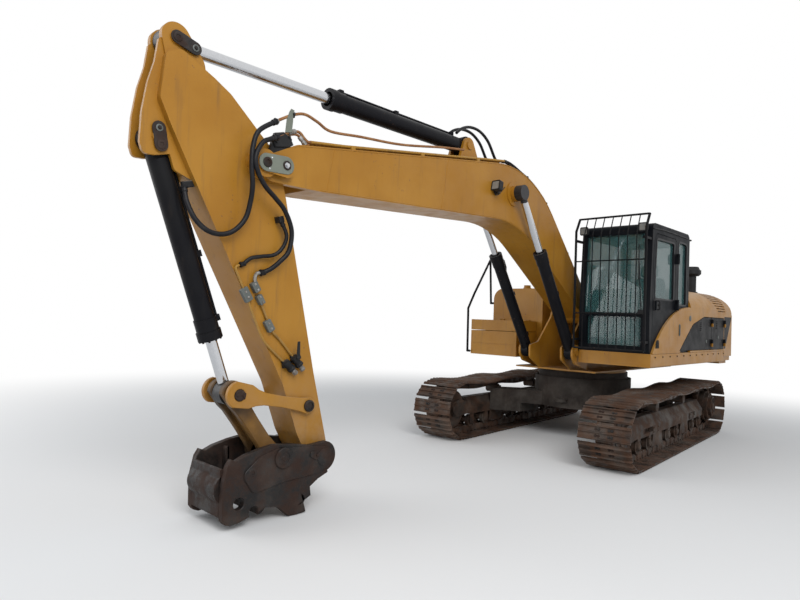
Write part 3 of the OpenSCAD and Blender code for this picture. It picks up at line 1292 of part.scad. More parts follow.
module coupler_latch_shape() {
    color([0.20, 0.18, 0.17]) in_coupler()
        slab(-coupler_y0, coupler_y0)
            polygon(rounded([[70 + seat_gap, 560, 0], [140, 560, 20], [200, 640, 30], [200, 690, 10],
                [120, 700, 30], [70 + seat_gap, 700, 0]], 3));
}

module carbody() { carbody_shape(); }
module track_frame_left() { on_side(1) track_frame_shape(); }
module track_frame_right() { on_side(-1) track_frame_shape(); }
module track_left() { on_side(1) track_shape(); }
module track_right() { on_side(-1) track_shape(); }
module idler_left() { on_side(1) idler_shape(); }
module idler_right() { on_side(-1) idler_shape(); }
module sprocket_left() { on_side(1) sprocket_shape(); }
module sprocket_right() { on_side(-1) sprocket_shape(); }
module rollers_left() { on_side(1) rollers_shape(); }
module rollers_right() { on_side(-1) rollers_shape(); }

carbody();
track_frame_left();
track_frame_right();
track_left();
track_right();
idler_left();
idler_right();
sprocket_left();
sprocket_right();
rollers_left();
rollers_right();
swing_bearing_shape();  // swing_bearing
upper_frame_shape();  // upper_frame
deck_shape();  // deck
counterweight_shape();  // counterweight
engine_block_shape();  // engine_block
hood_shape();  // hood
rear_corners_shape();  // rear_corners
hood_lid_shape();  // hood_lid
side_door_front_shape();  // side_door_front
side_door_rear_shape();  // side_door_rear
pump_door_shape();  // pump_door
side_panel_left_shape();  // side_panel_left
fuel_tank_shape();  // fuel_tank
storage_box_shape();  // storage_box
box_lid_shape();  // box_lid
handrail_shape();  // handrail
precleaner_shape();  // precleaner
cab_shell_shape();  // cab_shell
cab_glass_shape();  // cab_glass
seat_shape();  // seat
console_shape();  // console
front_guard_shape();  // front_guard
cab_lamps_shape();  // cab_lamps
cab_door_shape();  // cab_door
door_glass_shape();  // door_glass
boom_shape();  // boom
boom_lines_shape();  // boom_lines
tip_pipes_shape();  // tip_pipes
boom_hoses_shape();  // boom_hoses
boom_lamp_shape();  // boom_lamp
boom_barrels_shape();  // boom_barrels
boom_rods_shape();  // boom_rods
stick_barrel_shape();  // stick_barrel
stick_rod_shape();  // stick_rod
stick_shape();  // stick
stick_lines_shape();  // stick_lines
arm_hoses_shape();  // arm_hoses
bucket_barrel_shape();  // bucket_barrel
bucket_rod_shape();  // bucket_rod
guide_links_shape();  // guide_links
power_link_shape();  // power_link
coupler_body_shape();  // coupler_body
coupler_latch_shape();  // coupler_latch
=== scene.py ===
"""Looks of the crawler excavator: paint, steel, glass, hoses, bolts and welds over its CAD frame."""
import json
import math

import bpy
import numpy as np
from mathutils import Matrix


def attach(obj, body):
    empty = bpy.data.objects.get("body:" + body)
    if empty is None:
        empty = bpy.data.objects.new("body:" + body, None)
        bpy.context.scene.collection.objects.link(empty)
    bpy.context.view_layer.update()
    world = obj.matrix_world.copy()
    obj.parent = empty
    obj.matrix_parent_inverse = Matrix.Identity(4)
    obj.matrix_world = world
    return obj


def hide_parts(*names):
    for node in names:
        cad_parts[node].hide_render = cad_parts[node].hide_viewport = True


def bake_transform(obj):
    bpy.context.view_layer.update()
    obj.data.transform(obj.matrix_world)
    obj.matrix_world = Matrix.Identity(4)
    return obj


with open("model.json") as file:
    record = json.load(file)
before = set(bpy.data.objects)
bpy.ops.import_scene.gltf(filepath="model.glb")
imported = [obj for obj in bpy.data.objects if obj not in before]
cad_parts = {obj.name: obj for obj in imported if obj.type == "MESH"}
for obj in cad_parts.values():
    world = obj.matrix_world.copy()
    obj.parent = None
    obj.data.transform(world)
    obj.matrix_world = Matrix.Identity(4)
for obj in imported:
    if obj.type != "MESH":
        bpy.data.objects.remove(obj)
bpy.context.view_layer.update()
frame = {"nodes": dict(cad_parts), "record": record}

# Places that the CAD source also holds, in metres, in the machine's own frame; then the boom's rod pin from its foot
# pin, and the stick's pins from its boom pin
SWING_BACK = 2.0109
BOOM_ANGLE = math.radians(10.5)
STICK_ANGLE = math.radians(-106.2)
TRACK_TURN = math.radians(3.8)
FOOT = np.array([0.298 - SWING_BACK, 1.804])
TIP = FOOT + 5.68 * np.array([math.cos(BOOM_ANGLE), math.sin(BOOM_ANGLE)])
BOOM_ROD_PIN = (2.260, 1.010)
STICK_LENGTH = 2.495
STICK_TOP, BUCKET_BASE = (-0.953, 0.453), (-0.265, 0.752)
LINK_PIN, GUIDE_PIN, TOOL_BACK = (1.724, 0.612), (2.039, 0.008), (2.326, 0.398)
STICK_SIDE = 0.1603
LEFT, UP = (0, 1, 0), (0, 0, 1)


def turned(points, angle):
    """Points (n, 2) turned by angle about their origin: the plane rotation matrix."""
    c, s = math.cos(angle), math.sin(angle)
    return np.asarray(points, float) @ np.array([[c, s], [-s, c]])


def on_arm(points, pin, angle):
    """Rows (along, side, up) drawn from a pin with the first axis level, taken to the machine's frame."""
    p = np.atleast_2d(np.asarray(points, float))
    xz = pin + turned(p[:, [0, 2]], angle)
    return np.column_stack([xz[:, 0], p[:, 1], xz[:, 1]])


def on_boom(points):
    """Rows (along, side, up) on the boom, drawn from its foot pin."""
    return on_arm(points, FOOT, BOOM_ANGLE)


def on_stick(points):
    """Rows (down the stick, side, forward) from the stick's boom pin."""
    return on_arm(points, TIP, STICK_ANGLE)


def in_house(points):
    """Rows in the house's own frame, measured from the swing axis."""
    return np.asarray(points, float) - [SWING_BACK, 0.0, 0.0]


# Finishes

class Nodes:
    """A node tree. Each step adds one node, joins or sets its inputs and gives its output."""

    def __init__(self, tree):
        self.tree = tree

    def put(self, socket, value):
        """Join a socket to an input, or set a plain value on it."""
        if isinstance(value, bpy.types.NodeSocket):
            self.tree.links.new(value, socket)
        else:
            socket.default_value = (*value, 1.0) if socket.type == "RGBA" else value

    def add(self, kind, inputs, **settings):
        """A node of a kind with its settings and inputs; gives its outputs."""
        node = self.tree.nodes.new("ShaderNode" + kind)
        for key, value in settings.items():
            setattr(node, key, value)
        for key, value in inputs.items():
            self.put(node.inputs[key], value)
        return node.outputs

    def step(self, value, low, high, out_low=0.0, out_high=1.0):
        """Value taken from low..high to out_low..out_high, smoothly and clamped."""
        ends = {"From Min": low, "From Max": high, "To Min": out_low, "To Max": out_high}
        return self.add("MapRange", {"Value": value, **ends}, interpolation_type="SMOOTHSTEP")["Result"]

    def combine(self, operation, a, b):
        """Two values through one math node, clamped to 0 to 1."""
        return self.add("Math", {0: a, 1: b}, operation=operation, use_clamp=True)["Value"]

    def times(self, a, b):
        return self.combine("MULTIPLY", a, b)

    def plus(self, a, b):
        return self.combine("ADD", a, b)

    def larger(self, a, b):
        return self.combine("MAXIMUM", a, b)

    def mix(self, share, under, over):
        """Colour over laid on colour under by share."""
        return self.add("Mix", {"Factor": share, 6: under, 7: over}, data_type="RGBA", blend_type="MIX")[2]

    def rise(self, vector):
        """The Z of a vector."""
        return self.add("SeparateXYZ", {0: vector})["Z"]

    def bump(self, value, depth, size):
        """Normals bent by a value."""
        return self.add("Bump", {"Height": value, "Strength": depth, "Distance": size})["Normal"]

    def seen(self):
        """1 on the rays by which the camera, a gloss or a glass sees a surface, else 0."""
        rays = self.add("LightPath", {})
        return self.larger(self.larger(rays["Is Camera Ray"], rays["Is Glossy Ray"]), rays["Is Transmission Ray"])

    def either(self, share, one, other, out):
        """One shader or the other by share, joined to the tree's output node."""
        mixed = self.add("MixShader", {"Fac": share, 1: one, 2: other})[0]
        self.tree.links.new(mixed, self.tree.nodes[out].inputs["Surface"])


class Finish(Nodes):
    """A material with one shader, drawn on its Object coordinates."""

    def __init__(self, name):
        self.material = bpy.data.materials.new(name)
        self.material.use_nodes = True
        super().__init__(self.material.node_tree)
        self.shader = self.tree.nodes["Principled BSDF"]
        self.place = self.add("TexCoord", {})["Object"]

    def cloud(self, scale, detail=5.0, rough=0.55, place=None):
        """Fractal noise of the given scale, 0 to 1."""
        place = self.place if place is None else place
        return self.add("TexNoise", {"Vector": place, "Scale": scale, "Detail": detail, "Roughness": rough})["Fac"]

    def waves(self, axis, scale, **inputs):
        """Even waves along an axis."""
        return self.add("TexWave", {"Vector": self.place, "Scale": scale, **inputs}, bands_direction=axis)["Fac"]

    def skyward(self):
        """How far a surface faces the sky, from the true normal's Z."""
        return self.rise(self.add("NewGeometry", {})["True Normal"])

    def shade(self, colour, rough, **more):
        """Colour, roughness and more inputs of the shader, their spaces written as underlines."""
        for key, value in {"Base_Color": colour, "Roughness": rough, **more}.items():
            self.put(self.shader.inputs[key.replace("_", " ")], value)
        return self.material


DUST = (0.36, 0.33, 0.29)
GRIME = (0.055, 0.042, 0.032)
CHIPPED = (0.10, 0.055, 0.035)


def painted(name, colour, faded, gloss, dust=0.45, grime=0.35, coat=0.06, spec=0.35):
    """Weathered paint: clouds between fresh and faded colour, run-down grime, dust on what faces up and near the
    ground, small chips, and orange peel in the bump."""
    f = Finish(name)
    sheet = f.mix(f.step(f.cloud(1.3), 0.35, 0.70), colour, faded)
    long_way = f.add("Mapping", {"Vector": f.place, "Scale": (9.0, 9.0, 0.7)})["Vector"]
    sheet = f.mix(f.times(f.step(f.cloud(1.6, 6.0, 0.6, long_way), 0.54, 0.76), grime), sheet, GRIME)
    chips = f.times(f.step(f.cloud(38.0, 3.0, 0.7), 0.66, 0.69), f.step(f.cloud(2.3), 0.50, 0.62))
    sheet = f.mix(chips, sheet, CHIPPED)
    sky = f.step(f.skyward(), 0.45, 0.95, 0.0, dust)
    low = f.step(f.rise(f.place), 1.5, 0.2, 0.0, dust * 0.7)
    dusty = f.times(f.larger(sky, low), f.step(f.cloud(5.0, 8.0, 0.65), 0.30, 0.75))
    shine = f.plus(f.step(f.cloud(6.0), 0.3, 0.8, gloss, gloss + 0.16), f.times(dusty, 0.4))
    peel = f.plus(f.times(f.cloud(160.0, 2.0), 0.35), f.times(f.cloud(9.0, 4.0), 0.65))
    return f.shade(f.mix(dusty, sheet, DUST), shine, Coat_Weight=coat, Coat_Roughness=0.25, Specular_IOR_Level=spec,
                   Normal=f.bump(peel, 0.12, 0.004))


def rusty(name, bare, rust, shine=0.5, grain=26.0, depth=0.5, dust=0.35, metal=0.35, spec=0.4):
    """Worn steel: bare metal and rust in clouds, dust in the hollows of the noise, pitted bump."""
    f = Finish(name)
    spread = f.step(f.cloud(grain * 0.3, 8.0, 0.65), 0.36, 0.62)
    pits = f.cloud(grain * 2.4, 6.0, 0.7)
    sheet = f.mix(f.step(pits, 0.52, 0.70, 0.0, 0.55), f.mix(spread, bare, rust), (0.045, 0.028, 0.02))
    sheet = f.mix(f.step(f.cloud(grain * 0.14, 6.0, 0.6), 0.42, 0.70, 0.0, dust), sheet, DUST)
    return f.shade(sheet, f.step(spread, 0.0, 1.0, shine, 0.86), Metallic=metal, Specular_IOR_Level=spec,
                   Normal=f.bump(pits, depth, 0.006))


def polished_rod(name, eyes):
    """Hard chrome with faint wiping lines, and black paint round each eye, a centre in X and Z with its reach."""
    f = Finish(name)
    lines = f.cloud(60.0, 4.0, 0.6)
    flat = f.add("VectorMath", {0: f.place, 1: (1.0, 0.0, 1.0)}, operation="MULTIPLY")["Vector"]
    paint = None
    for x, z, reach in eyes:
        away = f.add("VectorMath", {0: flat, 1: (x, 0.0, z)}, operation="DISTANCE")["Value"]
        near = f.step(away, reach, reach + 0.004, 1.0, 0.0)
        paint = near if paint is None else f.larger(paint, near)
    chrome = f.mix(lines, (0.50, 0.51, 0.53), (0.66, 0.67, 0.69))
    shine = f.plus(f.step(lines, 0.2, 0.8, 0.10, 0.26), f.times(paint, 0.3))
    return f.shade(f.mix(paint, chrome, (0.010, 0.010, 0.012)), shine, Metallic=f.combine("SUBTRACT", 1.0, paint))


def rubber_hose(name):
    """Hose cover: dark rubber with a fine grain and dust in patches."""
    f = Finish(name)
    dusty = f.step(f.cloud(9.0, 6.0, 0.65), 0.5, 0.85, 0.0, 0.18)
    return f.shade(f.mix(dusty, (0.007, 0.007, 0.009), (0.14, 0.13, 0.115)), f.step(dusty, 0.0, 0.4, 0.42, 0.75),
                   Specular_IOR_Level=0.2, Normal=f.bump(f.cloud(240.0, 2.0), 0.3, 0.002))


def moulded(name, colour, rough=0.55):
    """Moulded plastic with a fine grain."""
    f = Finish(name)
    dusty = f.times(f.step(f.skyward(), 0.3, 0.9, 0.0, 0.5), f.step(f.cloud(7.0), 0.35, 0.7))
    return f.shade(f.mix(dusty, colour, DUST), f.step(f.cloud(30.0), 0.3, 0.7, rough - 0.08, rough + 0.1),
                   Specular_IOR_Level=0.25, Normal=f.bump(f.cloud(420.0, 2.0), 0.25, 0.001))


def woven(name, colour):
    """Seat cloth: crossed fine waves as its weave."""
    f = Finish(name)
    weave = f.times(*(f.waves(axis, 90.0, Distortion=1.5) for axis in ("X", "Z")))
    return f.shade(f.mix(weave, colour, tuple(1.8 * c for c in colour)), 0.9, Sheen_Weight=0.3,
                   Normal=f.bump(weave, 0.4, 0.002))


def tinted_glass(name):
    """Thin green-tinted glass with dust in clouds."""
    f = Finish(name)
    dusty = f.step(f.cloud(3.0, 3.0, 0.5), 0.40, 0.85, 0.0, 0.35)
    return f.shade(f.mix(dusty, (0.050, 0.135, 0.135), (0.14, 0.19, 0.18)), f.step(dusty, 0.0, 0.35, 0.03, 0.30),
                   Alpha=f.step(dusty, 0.0, 0.35, 0.50, 0.62), IOR=1.5, Specular_IOR_Level=0.8)


def clear_lens(name):
    """Ribbed lamp lens: glossy, with fine upright ribs in its bump."""
    f = Finish(name)
    ribs = f.waves("X", 30.0)
    dusty = f.step(f.cloud(12.0), 0.4, 0.8)
    return f.shade(f.mix(dusty, (0.22, 0.22, 0.21), (0.15, 0.14, 0.12)), f.step(dusty, 0.0, 1.0, 0.08, 0.35),
                   Normal=f.bump(ribs, 0.35, 0.003))


# Centres of the rods' eyes in X and Z, with the reach of the paint round them
rod_eyes = [(*to_machine([(pin[0], 0.0, pin[1])])[0][[0, 2]], reach) for to_machine, pin, reach in (
    (on_stick, STICK_TOP, 0.125), (on_stick, LINK_PIN, 0.100), (on_boom, BOOM_ROD_PIN, 0.125))]
# painted: fresh and faded colour, gloss, dust, grime, coat, spec. rusty: bare and rust colour, shine, grain, depth,
# dust, metal, spec
recipes = {
    "yellow_paint": (painted, (0.32, 0.138, 0.008), (0.38, 0.178, 0.018), 0.38),
    "black_paint": (painted, (0.005, 0.005, 0.006), (0.010, 0.010, 0.011), 0.42, 0.07, 0.08, 0.0, 0.09),
    "cab_paint": (painted, (0.004, 0.005, 0.007), (0.008, 0.009, 0.011), 0.42, 0.05, 0.06, 0.0, 0.07),
    "cylinder_paint": (painted, (0.005, 0.005, 0.007), (0.010, 0.010, 0.011), 0.36, 0.06, 0.15, 0.0, 0.11),
    "dark_steel": (painted, (0.015, 0.011, 0.009), (0.026, 0.018, 0.014), 0.60, 0.20, 0.4, 0.0, 0.2),
    "undercarriage_steel": (rusty, (0.024, 0.016, 0.012), (0.060, 0.031, 0.019), 0.55, 20.0, 0.5, 0.16, 0.15, 0.25),
    "track_steel": (rusty, (0.044, 0.031, 0.025), (0.095, 0.050, 0.031), 0.42, 24.0, 0.6, 0.14, 0.35, 0.3),
    "worn_steel": (rusty, (0.011, 0.010, 0.010), (0.034, 0.018, 0.013), 0.45, 22.0, 0.5, 0.06, 0.15, 0.3),
    "rod_chrome": (polished_rod, rod_eyes),
    "engine_iron": (rusty, (0.10, 0.10, 0.095), (0.08, 0.06, 0.05), 0.6, 14.0, 0.3, 0.3, 0.1),
    "glass": (tinted_glass,),
    "seat_fabric": (woven, (0.016, 0.016, 0.019)),
    "black_plastic": (moulded, (0.012, 0.012, 0.013)),
    "lamp_housing": (moulded, (0.015, 0.015, 0.016)),
    "hose_rubber": (rubber_hose,),
    "pipe_steel": (painted, (0.36, 0.185, 0.020), (0.30, 0.17, 0.045), 0.40, 0.2, 0.4, 0.03),
    "copper_pipe": (rusty, (0.34, 0.165, 0.060), (0.26, 0.115, 0.045), 0.35, 30.0, 0.15, 0.05, 0.35),
    "zinc": (rusty, (0.36, 0.36, 0.35), (0.24, 0.21, 0.18), 0.35, 60.0, 0.2, 0.15, 0.8),
    "link_paint": (painted, (0.030, 0.019, 0.012), (0.30, 0.14, 0.018), 0.45, 0.15, 0.7, 0.0, 0.3),
    "clamp_grey": (painted, (0.085, 0.095, 0.090), (0.13, 0.14, 0.13), 0.5, 0.2, 0.4, 0.0, 0.3),
    "pale_steel": (painted, (0.15, 0.165, 0.135), (0.22, 0.235, 0.195), 0.5, 0.2, 0.3, 0.0, 0.3),
    "lamp_lens": (clear_lens,),
    # dark_gap: near-black used as painted shade inside openings and recesses
    "dark_gap": (moulded, (0.008, 0.008, 0.008), 0.8),
}
finishes = {name: make(name, *rest) for name, (make, *rest) in recipes.items()}
slot_of = {part["node"]: part["material_slot"] for part in frame["record"]["subparts"]}
for node, thing in frame["nodes"].items():
    for socket in thing.material_slots:
        socket.material = finishes[slot_of[node]]


# Shapes. A shape is its points, its four-sided faces and its other faces

def ring_faces(rings, sides, wrap=True):
    """Faces between neighbouring rings of a grid: point k of ring i joins k + 1 and the same two of ring i + 1."""
    i, k = np.meshgrid(np.arange(rings - 1), np.arange(sides if wrap else sides - 1), indexing="ij")
    m = (k + 1) % sides
    return np.stack([i * sides + k, i * sides + m, (i + 1) * sides + m, (i + 1) * sides + k], -1).reshape(-1, 4)


def closed_rings(rings):
    """Rings (n, m, 3) joined to a skin whose two ends are many-sided faces."""
    n, m = rings.shape[:2]
    ends = [tuple(range(m))[::-1], tuple(range((n - 1) * m, n * m))]
    return rings.reshape(-1, 3), ring_faces(n, m), ends


def joined(shapes):
    """Several shapes as one: their faces are shifted by the points that come before."""
    points, quads, ends, first = [], [], [], 0
    for p, q, e in shapes:
        points.append(p)
        quads.append(q + first)
        ends += [tuple(i + first for i in end) for end in e]
        first += len(p)
    return np.vstack(points), np.vstack(quads), ends


def drawn(to_machine, shapes):
    """Shapes drawn in a frame of their own, joined and taken to the machine's frame."""
    points, quads, ends = joined(shapes)
    return to_machine(points), quads, ends


def placed(shape, frames):
    """Copies of a shape, one for each frame (k, 4, 3): rows are the place and the three axes."""
    p, q, e = shape
    points = frames[:, 0][:, None] + np.einsum("nj,kji->kni", p, frames[:, 1:])
    shift = len(p) * np.arange(len(frames))
    quads = (q[None] + shift[:, None, None]).reshape(-1, 4)
    return points.reshape(-1, 3), quads, [tuple(i + s for i in end) for s in shift for end in e]


def frames_at(places, axis, hint):
    """Frames whose third axis is the given one, square to a hint."""
    z = np.asarray(axis, float) / np.linalg.norm(axis)
    x = np.cross(hint, z)
    if np.linalg.norm(x) < 1e-6:
        x = np.cross((1.0, 0.0, 0.0), z)
    x = x / np.linalg.norm(x)
    turn = np.stack([x, np.cross(z, x), z])
    return np.stack([np.vstack([p, turn]) for p in np.atleast_2d(np.asarray(places, float))])


def circle(radius, sides, start=0.0):
    """Points of a circle: radius times cosine and sine of even steps."""
    a = start + 2 * np.pi * np.arange(sides) / sides
    return radius * np.column_stack([np.cos(a), np.sin(a)])


def arc(centre, radius, start, end, steps):
    """Points of an arc in degrees, at even angles, both ends included."""
    a = np.radians(np.linspace(start, end, steps))
    return np.column_stack([centre[0] + radius * np.cos(a), centre[1] + radius * np.sin(a)])


def lifted(points, y):
    """Points (n, 2) of the first and third axis, set at y on the second."""
    return np.insert(np.asarray(points, float), 1, y, axis=1)


def metres(rows):
    """Rows in millimetres taken to metres."""
    return np.asarray(rows, float) / 1000


def smooth_route(route, steps=6):
    """A curve through every point of a route: each span is the cubic whose slopes are half its neighbours' chord."""
    p = np.asarray(route, float)
    p = np.vstack([p[:1], p, p[-1:]])
    t = (np.arange(steps) / steps)[None, :, None]
    a, b, c, d = (p[i:len(p) - 3 + i][:, None] for i in range(4))
    line = 0.5 * (2 * b + (c - a) * t + (2 * a - 5 * b + 4 * c - d) * t ** 2 + (3 * b - a - 3 * c + d) * t ** 3)
    return np.vstack([line.reshape(-1, 3), p[-1:]])


def carried(route, outline, hint=LEFT):
    """An outline (m, 2), or one for each point (n, m, 2), carried square to a route."""
    p = np.asarray(route, float)
    t = np.gradient(p, axis=0)
    t /= np.linalg.norm(t, axis=1, keepdims=True)
    a = np.cross(t, np.asarray(hint, float))
    a /= np.linalg.norm(a, axis=1, keepdims=True)
    b = np.cross(t, a)
    o = np.broadcast_to(outline, (len(p), *np.shape(outline)[-2:]))
    return closed_rings(p[:, None] + o[..., :1] * a[:, None] + o[..., 1:] * b[:, None])


def pipe(route, radius, sides=12, steps=6, hint=LEFT):
    """A round pipe along the smooth curve through a route."""
    return carried(smooth_route(route, steps), circle(radius, sides), hint)


def spun(rows, sides):
    """Rows (radius, height) turned round the third axis."""
    rows = np.asarray(rows, float)
    around = rows[:, None, :1] * circle(1.0, sides)[None]
    return closed_rings(np.concatenate([around, np.broadcast_to(rows[:, None, 1:], (len(rows), sides, 1))], -1))


def lathed(rows, sides, places, axis=LEFT, hint=UP):
    """Turned parts of rows (radius, height) in millimetres along an axis, one at each place."""
    return placed(spun(metres(rows), sides), frames_at(places, axis, hint))


def hexagon(radius, tall):
    """A bolt's head on its washer: six sides with the corners of the top turned off."""
    return spun(np.array([(1.45, 0.0), (1.45, 0.16), (1.0, 0.16), (1.0, 0.9), (0.86, 1.0)]) * [radius, tall], 6)


def bolts(places, radius, tall, axis=LEFT, hint=UP):
    """Bolt heads along an axis, one at each place."""
    return placed(hexagon(radius, tall), frames_at(places, axis, hint))


def knob(at, y, rows, sides, side=1):
    """A turned part of rows in millimetres on a side face, pointing away from the middle plane."""
    return lathed(rows, sides, (at[0], side * y, at[1]), (0, side, 0))


def twice_area(o):
    """Twice an outline's area by the cross products of its corners, above 0 where it runs anticlockwise."""
    return np.sum(o[:, 0] * np.roll(o[:, 1], -1) - np.roll(o[:, 0], -1) * o[:, 1])


def clockwise(outline):
    """An outline's corners in clockwise order."""
    o = np.asarray(outline, float)
    return o[::-1] if twice_area(o) > 0 else o


def inset(outline, depth):
    """Closed outline moved inwards by depth, mitred at each corner."""
    o = np.asarray(outline, float)
    edge = np.roll(o, -1, 0) - o
    edge /= np.linalg.norm(edge, axis=1, keepdims=True)
    normal = np.column_stack([-edge[:, 1], edge[:, 0]]) * np.sign(twice_area(o))
    both = normal + np.roll(normal, 1, 0)
    return o + both * (depth / np.maximum(np.sum(both * normal, 1, keepdims=True), 0.3))


def rectangle(x0, z0, x1, z1):
    """Four corners of a level rectangle."""
    return [(x0, z0), (x1, z0), (x1, z1), (x0, z1)]


def edge_line(rows, steps=10, radius=0.0):
    """A closed outline with rounded corners. Each row is a corner and its radius, or the given radius where it has
    none; the arc's points lie at even angles."""
    rows = np.array([(*row, radius)[:3] for row in rows], float)
    line = []
    for before, (x, z, r), after in zip(np.roll(rows, 1, 0), rows, np.roll(rows, -1, 0)):
        here = np.array([x, z])
        u, v = before[:2] - here, after[:2] - here
        u, v = u / np.linalg.norm(u), v / np.linalg.norm(v)
        if r == 0:
            line.append(here[None])
            continue
        half = math.acos(np.clip(u @ v, -1, 1)) / 2
        middle = here + (u + v) / np.linalg.norm(u + v) * r / math.sin(half)
        s, e = here + u * r / math.tan(half) - middle, here + v * r / math.tan(half) - middle
        a = math.atan2(s[1], s[0]) + math.atan2(s[0] * e[1] - s[1] * e[0], s @ e) * np.arange(steps + 1) / steps
        line.append(middle + r * np.column_stack([np.cos(a), np.sin(a)]))
    return np.vstack(line)


def plate(outline, low, high, edge=0.0):
    """An outline in the first and third axis, made a plate along the second, its rims chamfered by edge."""
    o = clockwise(outline)
    low, high = sorted((low, high))
    rows = [(low, edge), (low + edge, 0.0), (high - edge, 0.0), (high, edge)] if edge else [(low, 0.0), (high, 0.0)]
    return closed_rings(np.stack([lifted(inset(o, d) if d else o, y) for y, d in rows]))


def box(low, high, edge):
    """A block between two corners with chamfered rims."""
    (x0, y0, z0), (x1, y1, z1) = low, high
    return plate(rectangle(x0, z0, x1, z1), y0, y1, edge)


def band(outline, outer, inner, low, high):
    """A closed band along an outline in the first and third axis: a four-cornered section carried all round it."""
    o = clockwise(outline)
    rows = [(inset(o, -outer), low), (inset(o, -outer), high), (inset(o, inner), high), (inset(o, inner), low)]
    grid = np.stack([lifted(line, y) for line, y in rows], 1)
    i, k = np.meshgrid(np.arange(len(o)), np.arange(4), indexing="ij")
    j, m = (i + 1) % len(o), (k + 1) % 4
    return grid.reshape(-1, 3), np.stack([i * 4 + k, j * 4 + k, j * 4 + m, i * 4 + m], -1).reshape(-1, 4), []


def slot_outline(p, q, radius, steps):
    """Outline of a plate with two round ends, from p to q."""
    p, q = np.asarray(p, float), np.asarray(q, float)
    a = math.atan2(*(q - p)[::-1]) + np.linspace(-math.pi / 2, math.pi / 2, steps)
    end = radius * np.column_stack([np.cos(a), np.sin(a)])
    return np.vstack([q + end, p - end])


def cut_plate(outline, holes, low, high, edge):
    """A plate with round holes: a flat filled outline given thickness and a chamfer by a curve, then read as a mesh."""
    low, high = sorted((low, high))
    curve = bpy.data.curves.new("outline", "CURVE")
    curve.dimensions, curve.fill_mode = "2D", "BOTH"
    curve.extrude, curve.bevel_depth, curve.bevel_resolution, curve.offset = (high - low) / 2 - edge, edge, 0, -edge
    for line in [np.asarray(outline, float)] + [arc(c, r, 0, 350, 36) for c, r in holes]:
        spline = curve.splines.new("POLY")
        spline.points.add(len(line) - 1)
        spline.points.foreach_set("co", np.column_stack([line, np.zeros(len(line)), np.ones(len(line))]).ravel())
        spline.use_cyclic_u = True
    thing = bpy.data.objects.new("outline", curve)
    mesh = bpy.data.meshes.new_from_object(thing)
    points = np.empty(3 * len(mesh.vertices))
    mesh.vertices.foreach_get("co", points)
    merged, index = np.unique(np.round(points.reshape(-1, 3), 6), axis=0, return_inverse=True)
    index = index.ravel()
    faces = [tuple(dict.fromkeys(index[list(f.vertices)].tolist())) for f in mesh.polygons]
    faces = [f[::-1] for f in faces if len(f) > 2]
    bpy.data.objects.remove(thing)
    bpy.data.meshes.remove(mesh)
    bpy.data.curves.remove(curve)
    merged = np.column_stack([merged[:, 0], merged[:, 2] + (low + high) / 2, merged[:, 1]])
    return merged, np.empty((0, 4), int), faces


def both_sides(shape):
    """A shape for y above 0 and its mirror, faces turned with it."""
    p, q, e = shape
    return [shape, (p * [1, -1, 1], q[:, ::-1], [end[::-1] for end in e])]


def piece(name, shape, finish, body, *stands_for):
    """A new mesh with its finish, on its body, in place of the nodes it stands for; given two bodies, it is only fixed
    in place as drawn.
    """
    points, quads, ends = shape
    mesh = bpy.data.meshes.new(name)
    mesh.from_pydata(points.tolist(), [], quads.tolist() + ends)
    mesh.materials.append(finishes[finish])
    mesh.shade_smooth()
    mesh.set_sharp_from_angle(angle=math.radians(38))
    thing = bpy.data.objects.new(name, mesh)
    bpy.context.scene.collection.objects.link(thing)
    if isinstance(body, str):
        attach(thing, body)
    else:
        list(body[:2])
        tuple(body[2])
        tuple(body[3])
        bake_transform(thing)
    if stands_for:
        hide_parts(*stands_for)
    return thing


def boom_piece(name, shapes, finish, *stands_for):
    """Shapes drawn in the boom's own frame, made one piece."""
    return piece(name, drawn(on_boom, shapes), finish, "boom", *stands_for)


def stick_piece(name, shapes, finish, body="stick", *stands_for):
    """Shapes drawn in the stick's own frame, made one piece."""
    return piece(name, drawn(on_stick, shapes), finish, body, *stands_for)


def house_piece(name, shapes, finish, body="house"):
    """Shapes drawn from the swing axis, made one piece."""
    return piece(name, drawn(in_house, shapes), finish, body)


# Undercarriage

WHEEL_BASE, IDLER, SPROCKET, SHOES, PITCH, GAUGE = 3.63, 0.322, 0.334, 49, 0.1902, 2.38
LINK, FACE, TIP_UP, SAG = 0.046, 0.057, 0.082, 0.034


def on_side(shape, side, flip=False):
    """A left undercarriage shape stood on its own side and turned with the tracks, its faces kept outwards."""
    p, q, e = shape
    p = p * [1, side, 1] + [0, side * GAUGE / 2, 0]
    xy = turned(p[:, :2], TRACK_TURN)
    p = np.column_stack([xy[:, 0] - SWING_BACK, xy[:, 1], p[:, 2]])
    if (side < 0) != flip:
        q, e = q[:, ::-1], [end[::-1] for end in e]
    return p, q, e


def chain_pins():
    """Pins at even steps along the loop: straight below, half circles round the wheels, three sags on top."""
    turn_i, turn_s = math.pi * IDLER, math.pi * SPROCKET
    loop = 2 * WHEEL_BASE + turn_i + turn_s
    s = (np.arange(SHOES + 1) % SHOES + 0.5) * loop / SHOES
    a = (s - WHEEL_BASE) / IDLER - math.pi / 2
    t = (s - WHEEL_BASE - turn_i) / WHEEL_BASE
    b = (s - 2 * WHEEL_BASE - turn_i) / SPROCKET + math.pi / 2
    top = TIP_UP + 2 * IDLER + 2 * (SPROCKET - IDLER) * t - SAG * (1 - np.cos(6 * math.pi * t)) / 2
    parts = [s < WHEEL_BASE, a < math.pi / 2, t < 1]
    x = np.select(parts, [s - WHEEL_BASE / 2, WHEEL_BASE / 2 + IDLER * np.cos(a), WHEEL_BASE / 2 - WHEEL_BASE * t],
                  -WHEEL_BASE / 2 + SPROCKET * np.cos(b))
    z = np.select(parts, [TIP_UP + 0 * s, TIP_UP + IDLER + IDLER * np.sin(a), top],
                  TIP_UP + SPROCKET + SPROCKET * np.sin(b))
    return np.column_stack([x, z])


